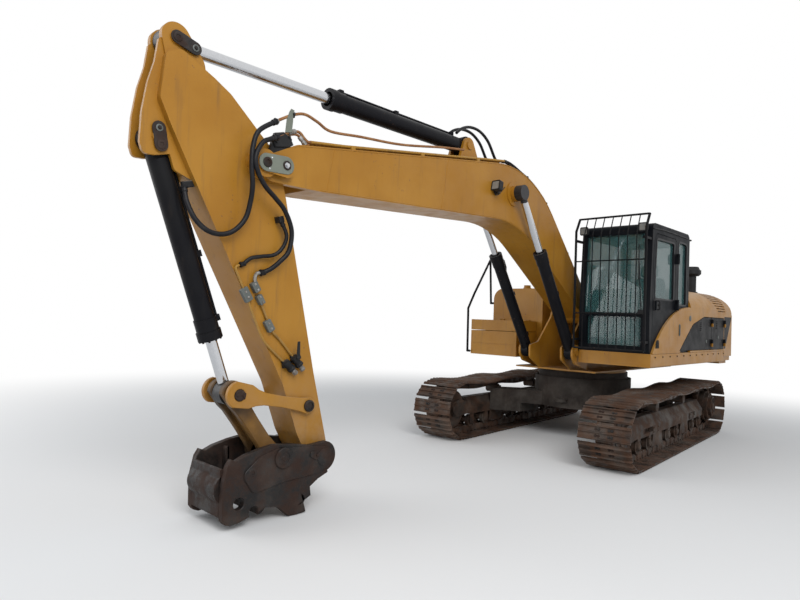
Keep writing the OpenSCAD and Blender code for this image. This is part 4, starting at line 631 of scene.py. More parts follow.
def shoe():
    """A triple-bar shoe: its side view, along the pitch and up from the pins, at four stations across."""
    top = [(0.012, FACE - 0.004), (0.035, FACE)]
    for low, high in ((0.05, 0.112), (0.44, 0.502), (0.82, 0.882)):
        top += [(low - 0.012, FACE), (low + 0.002, TIP_UP - 0.004), (low + 0.012, TIP_UP), (high - 0.012, TIP_UP),
                (high - 0.002, TIP_UP - 0.004), (high + 0.03, FACE)]
    outline = np.array(top + [(0.985, FACE - 0.002), (0.985, LINK), (0.012, LINK)])
    ends = np.column_stack([outline[:, 0], np.minimum(outline[:, 1], FACE + 0.010)])
    stations = ((ends, -0.300), (outline, -0.284), (outline, 0.284), (ends, 0.300))
    return closed_rings(np.stack([lifted(line, y) for line, y in stations]))


def drum(at, radius, y0, y1, sides=16):
    """A round bar across a link, at a share of the pitch."""
    ring = circle(radius, sides) / [PITCH, 1.0] + [at, 0.0]
    return closed_rings(np.stack([lifted(ring, y) for y in sorted((y0, y1), reverse=True)]))


def chain_link():
    """One link of each side: a waisted plate with two feet, its two eyes beside each other, and the pin's end."""
    waist = [(0.06, -LINK), (0.94, -LINK), (0.95, -0.030), (0.87, 0.018), (0.89, LINK), (0.62, LINK), (0.55, 0.026),
             (0.45, 0.026), (0.38, LINK), (0.11, LINK), (0.13, 0.018), (0.05, -0.030)]
    eyes = ((0.0, 0.034, 0.047, 0.071), (1.0, 0.034, 0.071, 0.097), (1.0, 0.019, 0.096, 0.101))
    parts = []
    for s in (-1, 1):
        parts.append(plate(waist, s * 0.052, s * 0.091, 0.003))
        parts += [drum(at, radius, s * y0, s * y1) for at, radius, y0, y1 in eyes]
    return joined(parts + [drum(0.0, 0.029, -0.047, 0.047, 12)])


def track_chain(side, name):
    """The whole chain of one track, in place of its solid: shoes, links and shoe bolts on the chord of each pitch."""
    pins = chain_pins()
    along = np.diff(pins, axis=0)
    out = np.column_stack([along[:, 1], -along[:, 0]]) / np.linalg.norm(along, axis=1, keepdims=True)
    frames = np.stack([lifted(pins[:-1], 0.0), lifted(along, 0.0), lifted(0.0 * along, 1.0), lifted(out, 0.0)], axis=1)
    p, q, e = hexagon(0.013, 0.011)
    heads = joined([(p / [PITCH, 1, 1] + [a, y, FACE - 0.001], q, e)
                    for a in (0.27, 0.66) for y in (-0.058, -0.092, 0.058, 0.092)])
    chain = joined([placed(part, frames) for part in (shoe(), chain_link())])
    piece("chain_" + name, on_side(chain, side, True), "track_steel", "undercarriage", "track_" + name)
    piece("shoe_bolts_" + name, on_side(placed(heads, frames), side), "worn_steel", "undercarriage")


def running_gear_fittings(side, name):
    """Hub caps and bolts of drive, idler and rollers, and the beam's cover plates, on a track's outer side."""
    drive, idler = (-WHEEL_BASE / 2, TIP_UP + SPROCKET), (WHEEL_BASE / 2, TIP_UP + IDLER)
    # Centre, distance out, radius, number, size and first angle of each ring of bolts
    rings = ((drive, 0.110, 0.218, 20, 0.010, 0.0), (drive, 0.165, 0.182, 14, 0.010, 0.0),
             (drive, 0.205, 0.092, 3, 0.013, 0.5), (idler, 0.160, 0.052, 4, 0.010, 0.7))
    shapes = [bolts(lifted(circle(radius, count, start), y) + [x, 0.0, z], size, size * 0.9)
              for (x, z), y, radius, count, size, start in rings]
    cap = [(60, 0), (60, 6), (50, 12), (20, 14)]
    rim = [(152, 0), (152, 4), (140, 10), (128, 4), (126, 0)]
    shapes += [knob(drive, 0.205, cap, 32), knob(drive, 0.205, rim, 48)]
    span = WHEEL_BASE - 0.9
    rollers = np.array([(x, 0.124, TIP_UP + LINK + 0.0783) for x in -span / 2 + span * np.arange(8) / 7])
    shapes.append(lathed([(44, 0), (44, 6), (34, 12), (12, 12)], 20, rollers))
    shapes += [bolts(rollers + [dx, 0.0, 0.062], 0.009, 0.010) for dx in (-0.030, 0.030)]
    for x in (0.70, -0.95):
        shapes.append(box((x, 0.134, 0.322), (x + 0.20, 0.141, 0.400), 0.002))
        shapes.append(bolts([(x + a, 0.141, z) for a in (0.018, 0.182) for z in (0.336, 0.386)], 0.008, 0.008))
    piece("running_gear_fittings_" + name, on_side(joined(shapes), side), "undercarriage_steel", "undercarriage")


for side, name in ((1, "left"), (-1, "right")):
    track_chain(side, name)
    running_gear_fittings(side, name)


# Boom

BOOM_EDGE = edge_line([(-0.06, 0, 0), (-0.05, 0.1, 0), (1.951, 1.503, 1.5), (5.4, 0.282, 0.2), (5.61, 0.118, 0.06),
                       (5.798, 0.06, 0.05), (5.798, -0.06, 0.05), (5.58, -0.112, 0.06), (5.08, -0.014, 0.3),
                       (2.09, 0.711, 1.5), (0.07, -0.11, 0)], 14)


def weld(line, y, radius=0.004):
    """A weld bead: a round bead that swells and thins evenly along a line in the first and third axis."""
    p = lifted(line, y)
    lengths = np.concatenate([[0], np.cumsum(np.linalg.norm(np.diff(p, axis=0), axis=1))])
    at = np.linspace(0, lengths[-1], max(int(lengths[-1] / 0.02), 4))
    p = np.column_stack([np.interp(at, lengths, p[:, k]) for k in range(3)])
    swell = 1 + 0.18 * np.sin(at * 400)
    return carried(p, circle(radius, 6)[None] * swell[:, None, None])


def boom_welds():
    """Beads along the rims of the boom's side plates, and the joints across them."""
    rim = BOOM_EDGE[(BOOM_EDGE[:, 0] > 0.12) & (BOOM_EDGE[:, 0] < 5.55)]
    is_top = rim[:, 1] > np.interp(rim[:, 0], [0, 2.1, 5.6], [0, 0.9, 0.02])
    upper, lower = (line[np.argsort(line[:, 0])] for line in (rim[is_top], rim[~is_top]))
    shapes = []
    for s in (-1, 1):
        shapes += [weld(upper - [0, 0.012], s * 0.2255), weld(lower + [0, 0.012], s * 0.2255)]
        for x in (3.52, 5.02):
            z0, z1 = np.interp(x, *lower.T) + 0.014, np.interp(x, *upper.T) - 0.014
            shapes.append(weld([(x, z0), (x, z1)], s * 0.2252, 0.0025))
    boom_piece("boom_welds", shapes, "yellow_paint")


def boom_pin_fittings():
    """The keeper plate of the stick's pin with its two bolts, and the pin's cap on the boom head's far side."""
    tip, bolt = (5.682, 0.001), (5.503, 0.044)
    boom_piece("tip_keeper", [plate(slot_outline(tip, bolt, 0.072, 16), 0.2765, 0.2885, 0.003)], "pale_steel")
    washers = [knob(tip, 0.288, [(40, 0), (40, 8), (34, 12), (20, 12), (18, 6)], 24),
               knob(bolt, 0.288, [(38, 0), (38, 6), (30, 8), (24, 4)], 24)]
    boom_piece("tip_keeper_washers", washers, "worn_steel")
    heads = [bolts([(bolt[0], 0.2915, bolt[1])], 0.017, 0.020),
             bolts([(5.650, 0.2882, 0.052), (5.650, 0.2882, -0.040)], 0.006, 0.006)]
    boom_piece("tip_keeper_bolt", heads, "rod_chrome")
    pin = [(45, 0), (45, 10), (38, 14), (12, 14)]
    boom_piece("tip_pin_far", [knob((5.68, 0.0), 0.2752, pin, 28, -1)], "worn_steel")


# Routes in millimetres: the first three from the stick's boom pin, the others on the boom
HOSE_HIGH = [(-311, 286, -161), (-243, 302, 30), (-129, 304, 115), (17, 304, 162), (160, 296, 184), (275, 262, 207),
             (400, 240, 270), (475, 228, 378), (487, 214, 485), (441, 200, 586), (342, 176, 649), (212, 140, 664),
             (96, 104, 640)]
HOSE_LOW = [(-187, 302, -132), (-172, 304, -50), (-148, 308, 28), (-51, 320, 120), (62, 320, 129), (179, 304, 78),
            (279, 284, -7), (391, 270, -86), (559, 266, -117), (714, 258, -59), (782, 240, 30), (826, 212, 110),
            (842, 190, 172), (842, 186, 206.7)]
HOSE_BACK = [(467, 215, -69), (592, 236, -80), (681, 226, -26), (724, 212, 57), (716, 194, 166), (712, 188, 260),
             (740, 183, 330), (745, 182, 366.3)]
ARCH_HOSE = [(2498.1, 1345.4), (2400, 1366), (2280, 1366), (2130, 1352), (1974, 1338), (1797, 1303), (1625, 1248),
             (1461, 1173), (1100, 930), (760, 694), (350, 406), (60, 202)]
STICK_LOOP = [(2420, 1323), (2540, 1406), (2700, 1532), (2880, 1580), (3060, 1550), (3200, 1472), (3286, 1378)]
UPPER_PIPE = [(5664, 250, 354), (5620, 238, 400), (5500, 222, 502), (5388, 220, 560), (5250, 220, 556),
              (5092, 220, 540), (4750, 220, 642), (4240, 220, 790), (3664, 220, 1011), (3300, 220, 1140)]
LOWER_PIPE = [(5642, 224, 230), (5600, 224, 262), (5530, 222, 322), (5450, 206, 380), (5385, 192, 402),
              (5330, 190, 376), (5290, 190, 362.3), (5260.3, 190, 371.9)]
SECOND_PIPE = np.array(LOWER_PIPE[2:], float) + [6, -8, -26]


def hose(route, radius, both=True):
    """A hose on a smooth curve, with a crimped ferrule and its nut at its start, or at both ends."""
    line = smooth_route(route, 8)
    shapes = [carried(line, circle(radius, 14))]
    ferrule = [(1.0, 0.0), (1.26, 0.002), (1.26, 0.020), (1.12, 0.022), (1.12, 0.026), (1.26, 0.028), (1.26, 0.046),
               (1.05, 0.050)]
    nut = [(1.30, 0.0), (1.45, 0.002), (1.45, 0.016), (1.30, 0.018)]
    for here, towards in ((line[0], line[2]), (line[-1], line[-3]))[:2 if both else 1]:
        for rows, sides in ((ferrule, 14), (nut, 6)):
            end = frames_at(here, towards - here, LEFT)
            shapes.append(placed(spun(np.array(rows) * [radius, 1.0], sides), end))
    return shapes


def arm_hoses():
    """The three hoses between the boom's head and the stick."""
    start, end = (tuple(p) for p in on_stick([(-0.30, 0.28, -0.16), (0.062, 0.28, 0.129)]))
    both = ("boom", "stick", start, end)
    stick_piece("hose_high", hose(metres(HOSE_HIGH), 0.0195), "hose_rubber", both, "arm_hoses")
    stick_piece("hose_low", hose(metres(HOSE_LOW), 0.0195), "hose_rubber", both)
    stick_piece("hose_back", hose(metres(HOSE_BACK), 0.016), "hose_rubber")
    foot = [(0.064, 0.5743), (0.112, 0.5635), (0.112, 0.656), (0.064, 0.656)]
    ports = [box((0.430, STICK_SIDE, -0.092), (0.480, 0.236, -0.046), 0.005), plate(foot, 0.084, 0.124, 0.005)]
    stick_piece("hose_ports", ports, "black_plastic")


def head_pipes():
    """Copper-brown pipes over the boom's head, their upright strip and the black valve block with its foot."""
    boom_piece("head_pipes", [pipe(metres(UPPER_PIPE), 0.0125), pipe(metres(LOWER_PIPE), 0.0125),
                              pipe(metres(SECOND_PIPE), 0.0115)], "copper_pipe", "tip_pipes")
    strip = [(5552, 320), (5490, 346), (5500, 442), (5512, 500), (5506, 534), (5540, 534), (5552, 500), (5562, 430)]
    boom_piece("pipe_strip", [plate(metres(strip), 0.236, 0.243, 0.002)], "pale_steel")
    block = [(5636, 282), (5560, 322), (5470, 300), (5462, 262), (5470, 226), (5606, 168), (5640, 210)]
    foot = [(5436, 262), (5470, 300), (5560, 300), (5636, 214), (5640, 120), (5600, 118), (5520, 182)]
    heads = [(5.600, 0.236, 0.262), (5.610, 0.236, 0.215), (5.500, 0.236, 0.300), (5.510, 0.240, 0.500)]
    boom_piece("valve_block", [plate(metres(block), 0.196, 0.236, 0.006),
                               box((5.486, 0.206, 0.480), (5.534, 0.240, 0.524), 0.006),
                               plate(metres(foot), 0.180, 0.222, 0.004), bolts(heads, 0.010, 0.012)], "black_plastic")


def pipe_couplings():
    """Bright sleeves and nuts on the head's pipes, and the elbows to the stick's hoses."""
    sleeve = [(18, 0), (21, 4), (21, 34), (17, 38), (17, 48), (21, 52), (21, 84), (16, 90)]
    nut = [(22, 0), (25, 3), (25, 26), (22, 29)]
    bright = []
    for route, rows, sides, here, to in ((LOWER_PIPE, sleeve, 16, 18, 24), (SECOND_PIPE, sleeve, 16, 18, 24),
                                         (UPPER_PIPE, nut, 6, 0, 2)):
        line = smooth_route(metres(route), 8)
        bright.append(lathed(rows, sides, line[here], line[to] - line[here], LEFT))
    elbow = [(5.664, 0.250, 0.354), (5.670, 0.258, 0.351), (5.676, 0.270, 0.350), (5.680, 0.288, 0.349)]
    bright.append(pipe(elbow, 0.014, 12, 4, UP))
    start = on_stick(metres(HOSE_LOW[:1]))[:, [0, 2]] - FOOT
    x, z = turned(start, -BOOM_ANGLE)[0]
    bend = [(5.642, 0.224, 0.230), (5.652, 0.236, 0.222), (x - 0.004, 0.268, z + 0.020), (x, 0.292, z + 0.006),
            (x, 0.302, z)]
    bright.append(pipe(bend, 0.015, 12, 5, UP))
    boom_piece("pipe_couplings", bright, "zinc")


def arch_hoses():
    """The hoses down the boom's arch and to the stick's cylinder, with their straps."""
    shapes = []
    for route, radius, ys in ((ARCH_HOSE, 0.013, (0.150, 0.190)), (STICK_LOOP, 0.017, (-0.062, 0.062))):
        for y in ys:
            shapes += hose(lifted(metres(route), y), radius, False)
    boom_piece("arch_hoses", shapes, "hose_rubber", "boom_hoses")
    straps = [box((x - 0.012, 0.132, z - 0.016), (x + 0.012, 0.208, z + 0.016), 0.002)
              for x, z in ((1.974, 1.338), (1.461, 1.173), (0.760, 0.694))]
    boom_piece("hose_straps", straps, "black_plastic")


def lamp_face(middle, half, corner, outer, deep, thick):
    """Rim and lens of a square lamp that faces forward: drawn across and up, then turned by a quarter."""
    line = edge_line(rectangle(-half, -half, half, half), 5, corner)
    faces = band(line, outer, 0.010, 0.0, deep), plate(inset(line, 0.008), 0.0, thick, 0.001)
    return [(np.column_stack([p[:, 1], -p[:, 0], p[:, 2]]) + middle, q, e) for p, q, e in faces]


boom_welds()
boom_pin_fittings()
arm_hoses()
head_pipes()
pipe_couplings()
arch_hoses()


# Cab

CAB_REAR, CAB_Y0, CAB_Y1, CAB_TOP, HEAD = -0.396, 0.430, 1.372, 2.962, 2.842
DOOR_WINDOW = edge_line([(0.19, 2.01), (0.82, 2.01), (0.82, HEAD - 0.5), (0.785, HEAD - 0.07), (0.19, HEAD - 0.07)],
                        4, 0.03)
SIDE_WINDOW = edge_line([(CAB_REAR + 0.11, 1.96, 0.03), (0.02, 1.96, 0.03), (0.02, CAB_TOP - 0.15, 0.03),
                         (CAB_REAR + 0.11, CAB_TOP - 0.15, 0.06)], 4)


def cab_seals():
    """Rubber seals round the door's window and the cab's side window."""
    for name, window, body in (("door", DOOR_WINDOW, "cab_door"), ("side", SIDE_WINDOW, "house")):
        seal = band(window, 0.014, 0.008, CAB_Y1 - 0.026, CAB_Y1 + 0.003)
        house_piece(name + "_window_seal", [seal], "hose_rubber", body)


def door_fittings():
    """The door's pull handle on its base, and the lock button."""
    rail = [(0.775, CAB_Y1 + y, z) for y, z in ((0.002, 1.868), (0.040, 1.876), (0.046, 1.900), (0.046, 1.955),
                                                (0.040, 1.975), (0.002, 1.984))]
    base = edge_line(rectangle(0.735, 1.850, 0.860, 2.000), 4, 0.02)
    lock = [(17, 0), (17, 10), (13, 14), (4, 14)]
    shapes = [plate(base, CAB_Y1, CAB_Y1 + 0.006, 0.002), pipe(rail, 0.009, 10, 4, (1.0, 0.0, 0.0)),
              knob((0.705, 1.93), CAB_Y1, lock, 18)]
    house_piece("door_handle", shapes, "black_plastic", "cab_door")


def wiper():
    """The windscreen's wiper: arm, elbow and blade on the leaning glass, and its motor's cap on the sill."""
    def glass(z):
        return 0.966 - 0.056 * (z - 1.82) / 1.012

    arm = [(glass(at) + off, y, z) for at, off, y, z in ((1.87, 0.030, 1.270, 1.830), (1.95, 0.034, 1.262, 1.950),
                                                        (2.35, 0.026, 1.225, 2.350), (2.55, 0.020, 1.205, 2.550))]
    blade = [(glass(z) + 0.012, 1.205 - 0.03 * (z - 2.55), z) for z in (2.22, 2.45, 2.70)]
    cap = box((0.968, 1.225, 1.800), (1.006, 1.315, 1.862), 0.008)
    house_piece("wiper", [pipe(arm, 0.007, 8, 4), pipe(blade, 0.006, 6, 4), cap], "black_plastic")


def lamp_lenses():
    """Lenses and rims in the cab's two work lamps."""
    rims, lenses = zip(*(lamp_face((1.028, y, CAB_TOP - 0.062), half=0.052, corner=0.02, outer=0.002, deep=0.006,
                                   thick=0.003) for y in (CAB_Y0 + 0.060, CAB_Y1 - 0.090)))
    house_piece("lamp_rims", rims, "black_plastic")
    house_piece("lamp_lenses", lenses, "lamp_lens")


def crowned(width, length, thick, middle, axes, n=26):
    """A cushion: both faces swell as a half-power of the distance to the rim, on a plan rounded by a power of 5."""
    u = np.linspace(-1, 1, n)
    a, b = np.meshgrid(u, u, indexing="ij")
    far = np.maximum(np.abs(a), np.abs(b))
    pull = (np.abs(a) ** 5 + np.abs(b) ** 5 + 1e-9) ** (-1 / 5) * far
    x, y = a * pull * width / 2, b * pull * length / 2
    swell = (1 - far ** 8) ** 0.5 * (0.78 + 0.22 * (1 - a * a) * (1 - b * b))
    channel = 1 - 0.10 * np.exp(-((np.abs(a) - 0.62) / 0.035) ** 2)
    top = np.stack([x, y, thick / 2 * swell * channel], -1).reshape(-1, 3)
    low = np.stack([x, y, -thick / 2 * swell], -1).reshape(-1, 3)
    quads = ring_faces(n, n, False)
    points = np.asarray(middle) + np.vstack([top, low]) @ np.asarray(axes, float)
    merged, index = np.unique(np.round(points, 6), axis=0, return_inverse=True)
    return drop_flat(merged, index[np.vstack([quads, quads[:, ::-1] + n * n])])


def drop_flat(points, quads):
    """Faces that keep four different corners stay four-sided; those with three are handed on as three-sided ones."""
    different = np.array([len(set(q)) for q in quads.tolist()])
    return points, quads[different == 4], [tuple(dict.fromkeys(q)) for q in quads[different == 3].tolist()]


def seat_parts():
    """The operator's seat in place of its solid: cushion, back, head rest, arm rests, suspension box and slides."""
    x, y, z = 0.12, 0.90, 1.3606 + 0.05
    lean = math.radians(8)
    up, fore = np.array([-math.sin(lean), 0, math.cos(lean)]), np.array([math.cos(lean), 0, math.sin(lean)])
    leaning = [up, (0, -1, 0), fore]
    back = np.array([x - 0.23, y, z + 0.38]) + 0.285 * up + 0.005 * fore
    head = np.array([x - 0.30, y, z + 0.94])
    # Name, fill, the solid it stands for, and what crowned is given
    soft = (("seat_cushion", 0.8, ["seat"], (0.50, 0.49, 0.125, (x + 0.02, y, z + 0.320), np.eye(3))),
            ("seat_back", 0.8, [], (0.56, 0.47, 0.120, back, leaning)),
            ("head_rest", 0.75, [], (0.18, 0.25, 0.085, head + 0.095 * up, leaning)))
    for name, fill, solid, form in soft:
        thing = piece(name, drawn(in_house, [crowned(*form)]), "seat_fabric", "house", *solid)
    folds = [(0.20, 0.000), (0.215, 0.03), (0.19, 0.055), (0.21, 0.085), (0.188, 0.11), (0.208, 0.14), (0.19, 0.165),
             (0.212, 0.195), (0.200, 0.22)]
    rings = []
    for half, rise in folds:
        line = edge_line(rectangle(-half, -half * 0.93, half, half * 0.93), 5, 0.05)
        rings.append(np.insert(line + [x + 0.01, y], 2, z + 0.036 + rise, axis=1))
    posts = [pipe([head + [0.0, s * 0.07, 0.0] + h * up for h in (-0.10, 0.0, 0.05)], 0.007, 10, 3) for s in (-1, 1)]
    house_piece("seat_bellows", [closed_rings(np.stack(rings))] + posts, "black_plastic")
    house_piece("seat_base", [box((x - 0.21, y - 0.21, z), (x + 0.23, y + 0.21, z + 0.036), 0.004),
                              box((x - 0.25, y - 0.22, z + 0.245), (x + 0.26, y + 0.22, z + 0.268), 0.004)],
                "black_plastic")
    rest = edge_line([(x - 0.20, z + 0.555), (x + 0.10, z + 0.545), (x + 0.10, z + 0.590), (x - 0.20, z + 0.600)],
                     4, 0.02)
    house_piece("arm_rests", [plate(rest, y + s * 0.245, y + s * 0.185, 0.008) for s in (-1, 1)], "seat_fabric")


def levers():
    """Pleated boots under both levers, and their grips."""
    boot = [(52, 0), (52, 6), (44, 16), (46, 26), (36, 36), (38, 46), (28, 56), (30, 66), (20, 80), (16, 120)]
    grip = [(17, 150), (24, 165), (27, 200), (24, 235), (28, 262), (20, 278)]
    feet = [(0.38, CAB_Y0 + 0.145, 2.010), (0.38, 1.235, 2.010)]
    house_piece("lever_boots", [lathed(boot, 20, feet, UP), lathed(grip, 18, feet, UP)], "black_plastic")


cab_seals()
door_fittings()
wiper()
lamp_lenses()
seat_parts()
levers()


# Stick, links and coupler

HOOK, NOTCH, TOOL_PIN, PIN_HOLE = (0.246, 0.316), (0.128, 0.744), 0.041, 0.046


def near_foot(rows, steps=8, radius=0):
    """A rounded outline drawn from the stick's foot pin in millimetres."""
    return edge_line(metres([(*row, radius)[:3] for row in rows]) + [STICK_LENGTH, 0, 0], steps)


def coupler_outline():
    """Side plate of the coupler: the lobe round its stick pin, the tail in front, and its hooks cut round tool pins."""
    lobe = arc((0, 0), 0.130, -150, -5, 14)
    mouth = arc(HOOK, TOOL_PIN, -143, 36, 14)[::-1]
    notch = arc(NOTCH, TOOL_PIN, -90, -270, 14)
    rest = [(150, -10), (160, 100), (186, 195), (262, 205)]
    toe = [(368, 285), (345, 388), (320, 455), (256, 496), (196, 540), (152, 640), (150, 703)]
    tail = [(150, 785), (154, 830), (150, 900), (138, 960), (110, 995), (74, 1010), (-38, 982), (-177, 940),
            (-300, 872), (-340, 826), (-312, 790), (-322, 711), (-314, 561), (-298, 445), (-230, 270),
            (-150, 110)]
    return np.vstack([lobe, metres(rest), mouth, metres(toe), notch, metres(tail)]) + [STICK_LENGTH, 0]


def coupler_body():
    """The quick coupler in place of its solid: side plates with doublers, cross tube, front wall, floor and bosses."""
    u, inner, outer = STICK_LENGTH, 0.210, 0.270
    hole = [((u + 0.010, 0.850), PIN_HOLE)]
    shapes = [cut_plate(coupler_outline(), hole, s * inner, s * outer, 0.005) for s in (1, -1)]
    double = near_foot([(-60, -92, 80), (100, -60, 60), (105, 110, 40), (30, 420, 50), (-10, 720, 50),
                        (-190, 780, 60), (-265, 600, 80), (-262, 430, 80), (-180, 200, 200)])
    flag = near_foot([(-170, 470, 50), (-105, 330, 20), (-190, 300, 20), (-245, 470, 50)], 6)
    keeper = near_foot([(-65, 40), (-110, 130), (-70, 150), (-5, 90)], 6, 20)
    rib = near_foot([(-300, 640), (-50, 700), (-50, 670), (-280, 610)], 3, 20)
    face = outer + 0.010
    for line, low, high, edge in ((double, outer - 0.002, face + 0.002, 0.005), (flag, face, face + 0.012, 0.003),
                                  (keeper, face, face + 0.012, 0.003), (rib, 0.150, inner, 0.003)):
        shapes += both_sides(plate(line, low, high, edge))
    boss = [(83, 0), (83, 16), (76, 22), (52, 22), (50, 18), (24, 18), (20, 22)]
    cap = [(78, 0), (78, 6), (66, 10), (30, 10)]
    button = [(36, 0), (36, 8), (30, 12), (18, 12), (16, 4)]
    for s in (-1, 1):
        heads = [(u - 0.125, s * (face + 0.008), 0.352), (u - 0.052, s * (face + 0.008), 0.075)]
        shapes += [knob(TOOL_BACK, face, boss, 32, s), knob((u, 0.0), face, cap, 32, s),
                   knob((u - 0.175, 0.690), outer + 0.004, button, 20, s), bolts(heads, 0.016, 0.016, (0, s, 0))]
    tube, pin = [(60, 0), (118, 0), (118, 420), (60, 420)], [(30, 0), (45, 0), (45, 560), (30, 560)]
    shapes += [lathed(tube, 40, (u - 0.115, -inner, 0.880)), lathed(pin, 32, (u, -outer - 0.010, 0.0))]
    wall = near_foot([(-285, 905), (60, 1010), (65, 982), (-280, 877)], 3, 10)
    floor = near_foot(rectangle(20, 400, 70, 780), 3, 10)
    shapes += [plate(line, -inner, inner) for line in (wall, floor)]
    stick_piece("coupler_frame", shapes, "worn_steel", "coupler", "coupler_body")
    latch = [pipe([(u - 0.025, 0.055 * s, 0.62), (u - 0.035, 0.055 * s, 0.68), (u - 0.045, 0.04 * s, 0.75),
                   (u - 0.045, 0.03 * s, 0.80)], 0.011, 10, 5) for s in (-1, 1)]
    barrel = [(20, 0), (40, 0), (40, 180), (22, 182), (22, 260)]
    latch.append(lathed(barrel, 24, (u - 0.025, 0.0, 0.60), UP))
    stick_piece("latch_cylinder", latch, "cylinder_paint", "coupler")


def link_frame(start, end):
    """A link's length, its turn in degrees, and its places by their distance along it and off it."""
    a, b = np.array(start), np.array(end)
    length = np.linalg.norm(b - a)
    along = (b - a) / length
    across = np.array([-along[1], along[0]])

    def at(s, w=0.0):
        return a + along * s + across * w

    return length, math.degrees(math.atan2(along[1], along[0])), at


def link_outline(start, end, rows, end_arc, start_arc):
    """A link's side view: half widths at distances along it, and an arc round each eye, its radius, reach and steps."""
    _, turn, at = link_frame(start, end)
    (r1, reach1, steps1), (r0, reach0, steps0) = end_arc, start_arc
    return np.vstack([[at(s, w) for s, w in rows], arc(end, r1, turn + reach1, turn - reach1, steps1),
                      [at(s, -w) for s, w in rows[::-1]],
                      arc(start, r0, turn - 180 + reach0, turn - 180 - reach0, steps0)])


def guide_links():
    """The links beside the stick in place of their solids: eyes joined by a waisted bar, with pin ends and keepers."""
    length, _, at = link_frame(LINK_PIN, GUIDE_PIN)
    rows = [(0.100, 0.094), (0.165, 0.066), (0.240, 0.050), (0.420, 0.046), (length - 0.085, 0.056),
            (length - 0.020, 0.068)]
    line = link_outline(LINK_PIN, GUIDE_PIN, rows, (0.070, 80, 10), (0.108, 70, 16))
    inner, outer = 0.166, 0.204
    bars = [cut_plate(line, [(LINK_PIN, PIN_HOLE)], s * inner, s * outer, 0.005) for s in (-1, 1)]
    stick_piece("link_bars", bars, "yellow_paint", "guide_links", "guide_links")
    thick = [(45, 0), (45, 44), (38, 50), (10, 50)]
    thin = [(50, 0), (50, 30), (44, 36), (34, 36), (32, 28), (8, 28)]
    flag = edge_line([at(0.050, 0.026), at(0.050, -0.026), at(-0.045, -0.026), at(-0.045, 0.026)], 4, 0.01)
    shapes = []
    for s in (-1, 1):
        shapes += [knob(LINK_PIN, inner, thick, 28, s), knob(GUIDE_PIN, 0.190, thin, 28, s),
                   plate(flag, s * 0.2045, s * 0.2115, 0.001),
                   bolts(lifted([at(0.030), at(-0.028)], s * 0.2112), 0.012, 0.012, (0, s, 0))]
    stick_piece("link_pins", shapes, "worn_steel", "guide_links")


def power_link():
    """The link down to the coupler in place of its solid: two bars with round eyes, a web and a hollow between them."""
    inner, outer = 0.061, 0.124
    length, _, at = link_frame(LINK_PIN, TOOL_BACK)
    rows = [(0.075, 0.080), (0.150, 0.066), (0.300, 0.062), (length - 0.150, 0.064), (length - 0.070, 0.074)]
    line = link_outline(LINK_PIN, TOOL_BACK, rows, (0.084, 110, 18), (0.104, 50, 16))
    eye = [(30, 0), (84, 0), (84, 98), (30, 98)]
    shapes = []
    for s in (-1, 1):
        shapes += [cut_plate(line, [(LINK_PIN, PIN_HOLE)], s * inner, s * outer, 0.008),
                   knob(TOOL_BACK, inner, eye, 32, s)]
    web = [at(0.17, 0.030), at(length - 0.13, 0.030), at(length - 0.13, -0.030), at(0.17, -0.030)]
    stick_piece("link_to_coupler", shapes + [plate(web, -0.062, 0.062)], "link_paint", "power_link", "power_link")


# Routes in millimetres from the stick's boom pin
STICK_PIPES = ([(745, 182, 372), (752, 182, 400), (790, 180, 404), (972, 176, 366), (1170, 176, 337),
                (1364, 176, 298), (1480, 176, 232), (1587, 178, 160), (1624, 180, 130)],
               [(1081, 180, 246), (1150, 178, 236), (1219, 176, 221), (1280, 176, 215), (1336, 176, 193),
                (1419, 176, 139), (1541, 178, 76), (1604, 180, 44)])
ELBOW = [(842, 186, 205), (838, 188, 226), (846, 190, 246), (868, 190, 262), (905, 188, 268)]


def stick_pipes():
    """The painted pipes on the stick's left side in place of their solid, and their clamps."""
    stick_piece("stick_pipes", [pipe(metres(route), 0.0095) for route in STICK_PIPES], "pipe_steel", "stick",
                "stick_lines")
    lean = math.atan2(-0.30, 1.0)
    clamps, bright = [], []
    # Two corners of each clamp, down the stick and forward, and its top
    for u0, v0, u1, v1, top in ((0.924, 0.330, 1.040, 0.398, 0.196), (0.900, 0.244, 0.985, 0.300, 0.206),
                                (1.010, 0.226, 1.090, 0.276, 0.204), (1.225, 0.188, 1.325, 0.250, 0.200)):
        middle, half = np.array([(u0 + u1) / 2, (v0 + v1) / 2]), np.array([(u1 - u0) / 2, (v1 - v0) / 2])
        line = edge_line(turned(rectangle(*-half, *half), lean) + middle, 4, 0.008)
        clamps.append(plate(line, STICK_SIDE, top, 0.003))
        bright.append(bolts(lifted([middle + [0.024, -0.007], middle - [0.024, -0.007]], top), 0.008, 0.008))
    bright.append(pipe(metres(ELBOW), 0.014, 14))
    stick_piece("pipe_clamps", clamps, "clamp_grey")
    quick_couplings(bright)


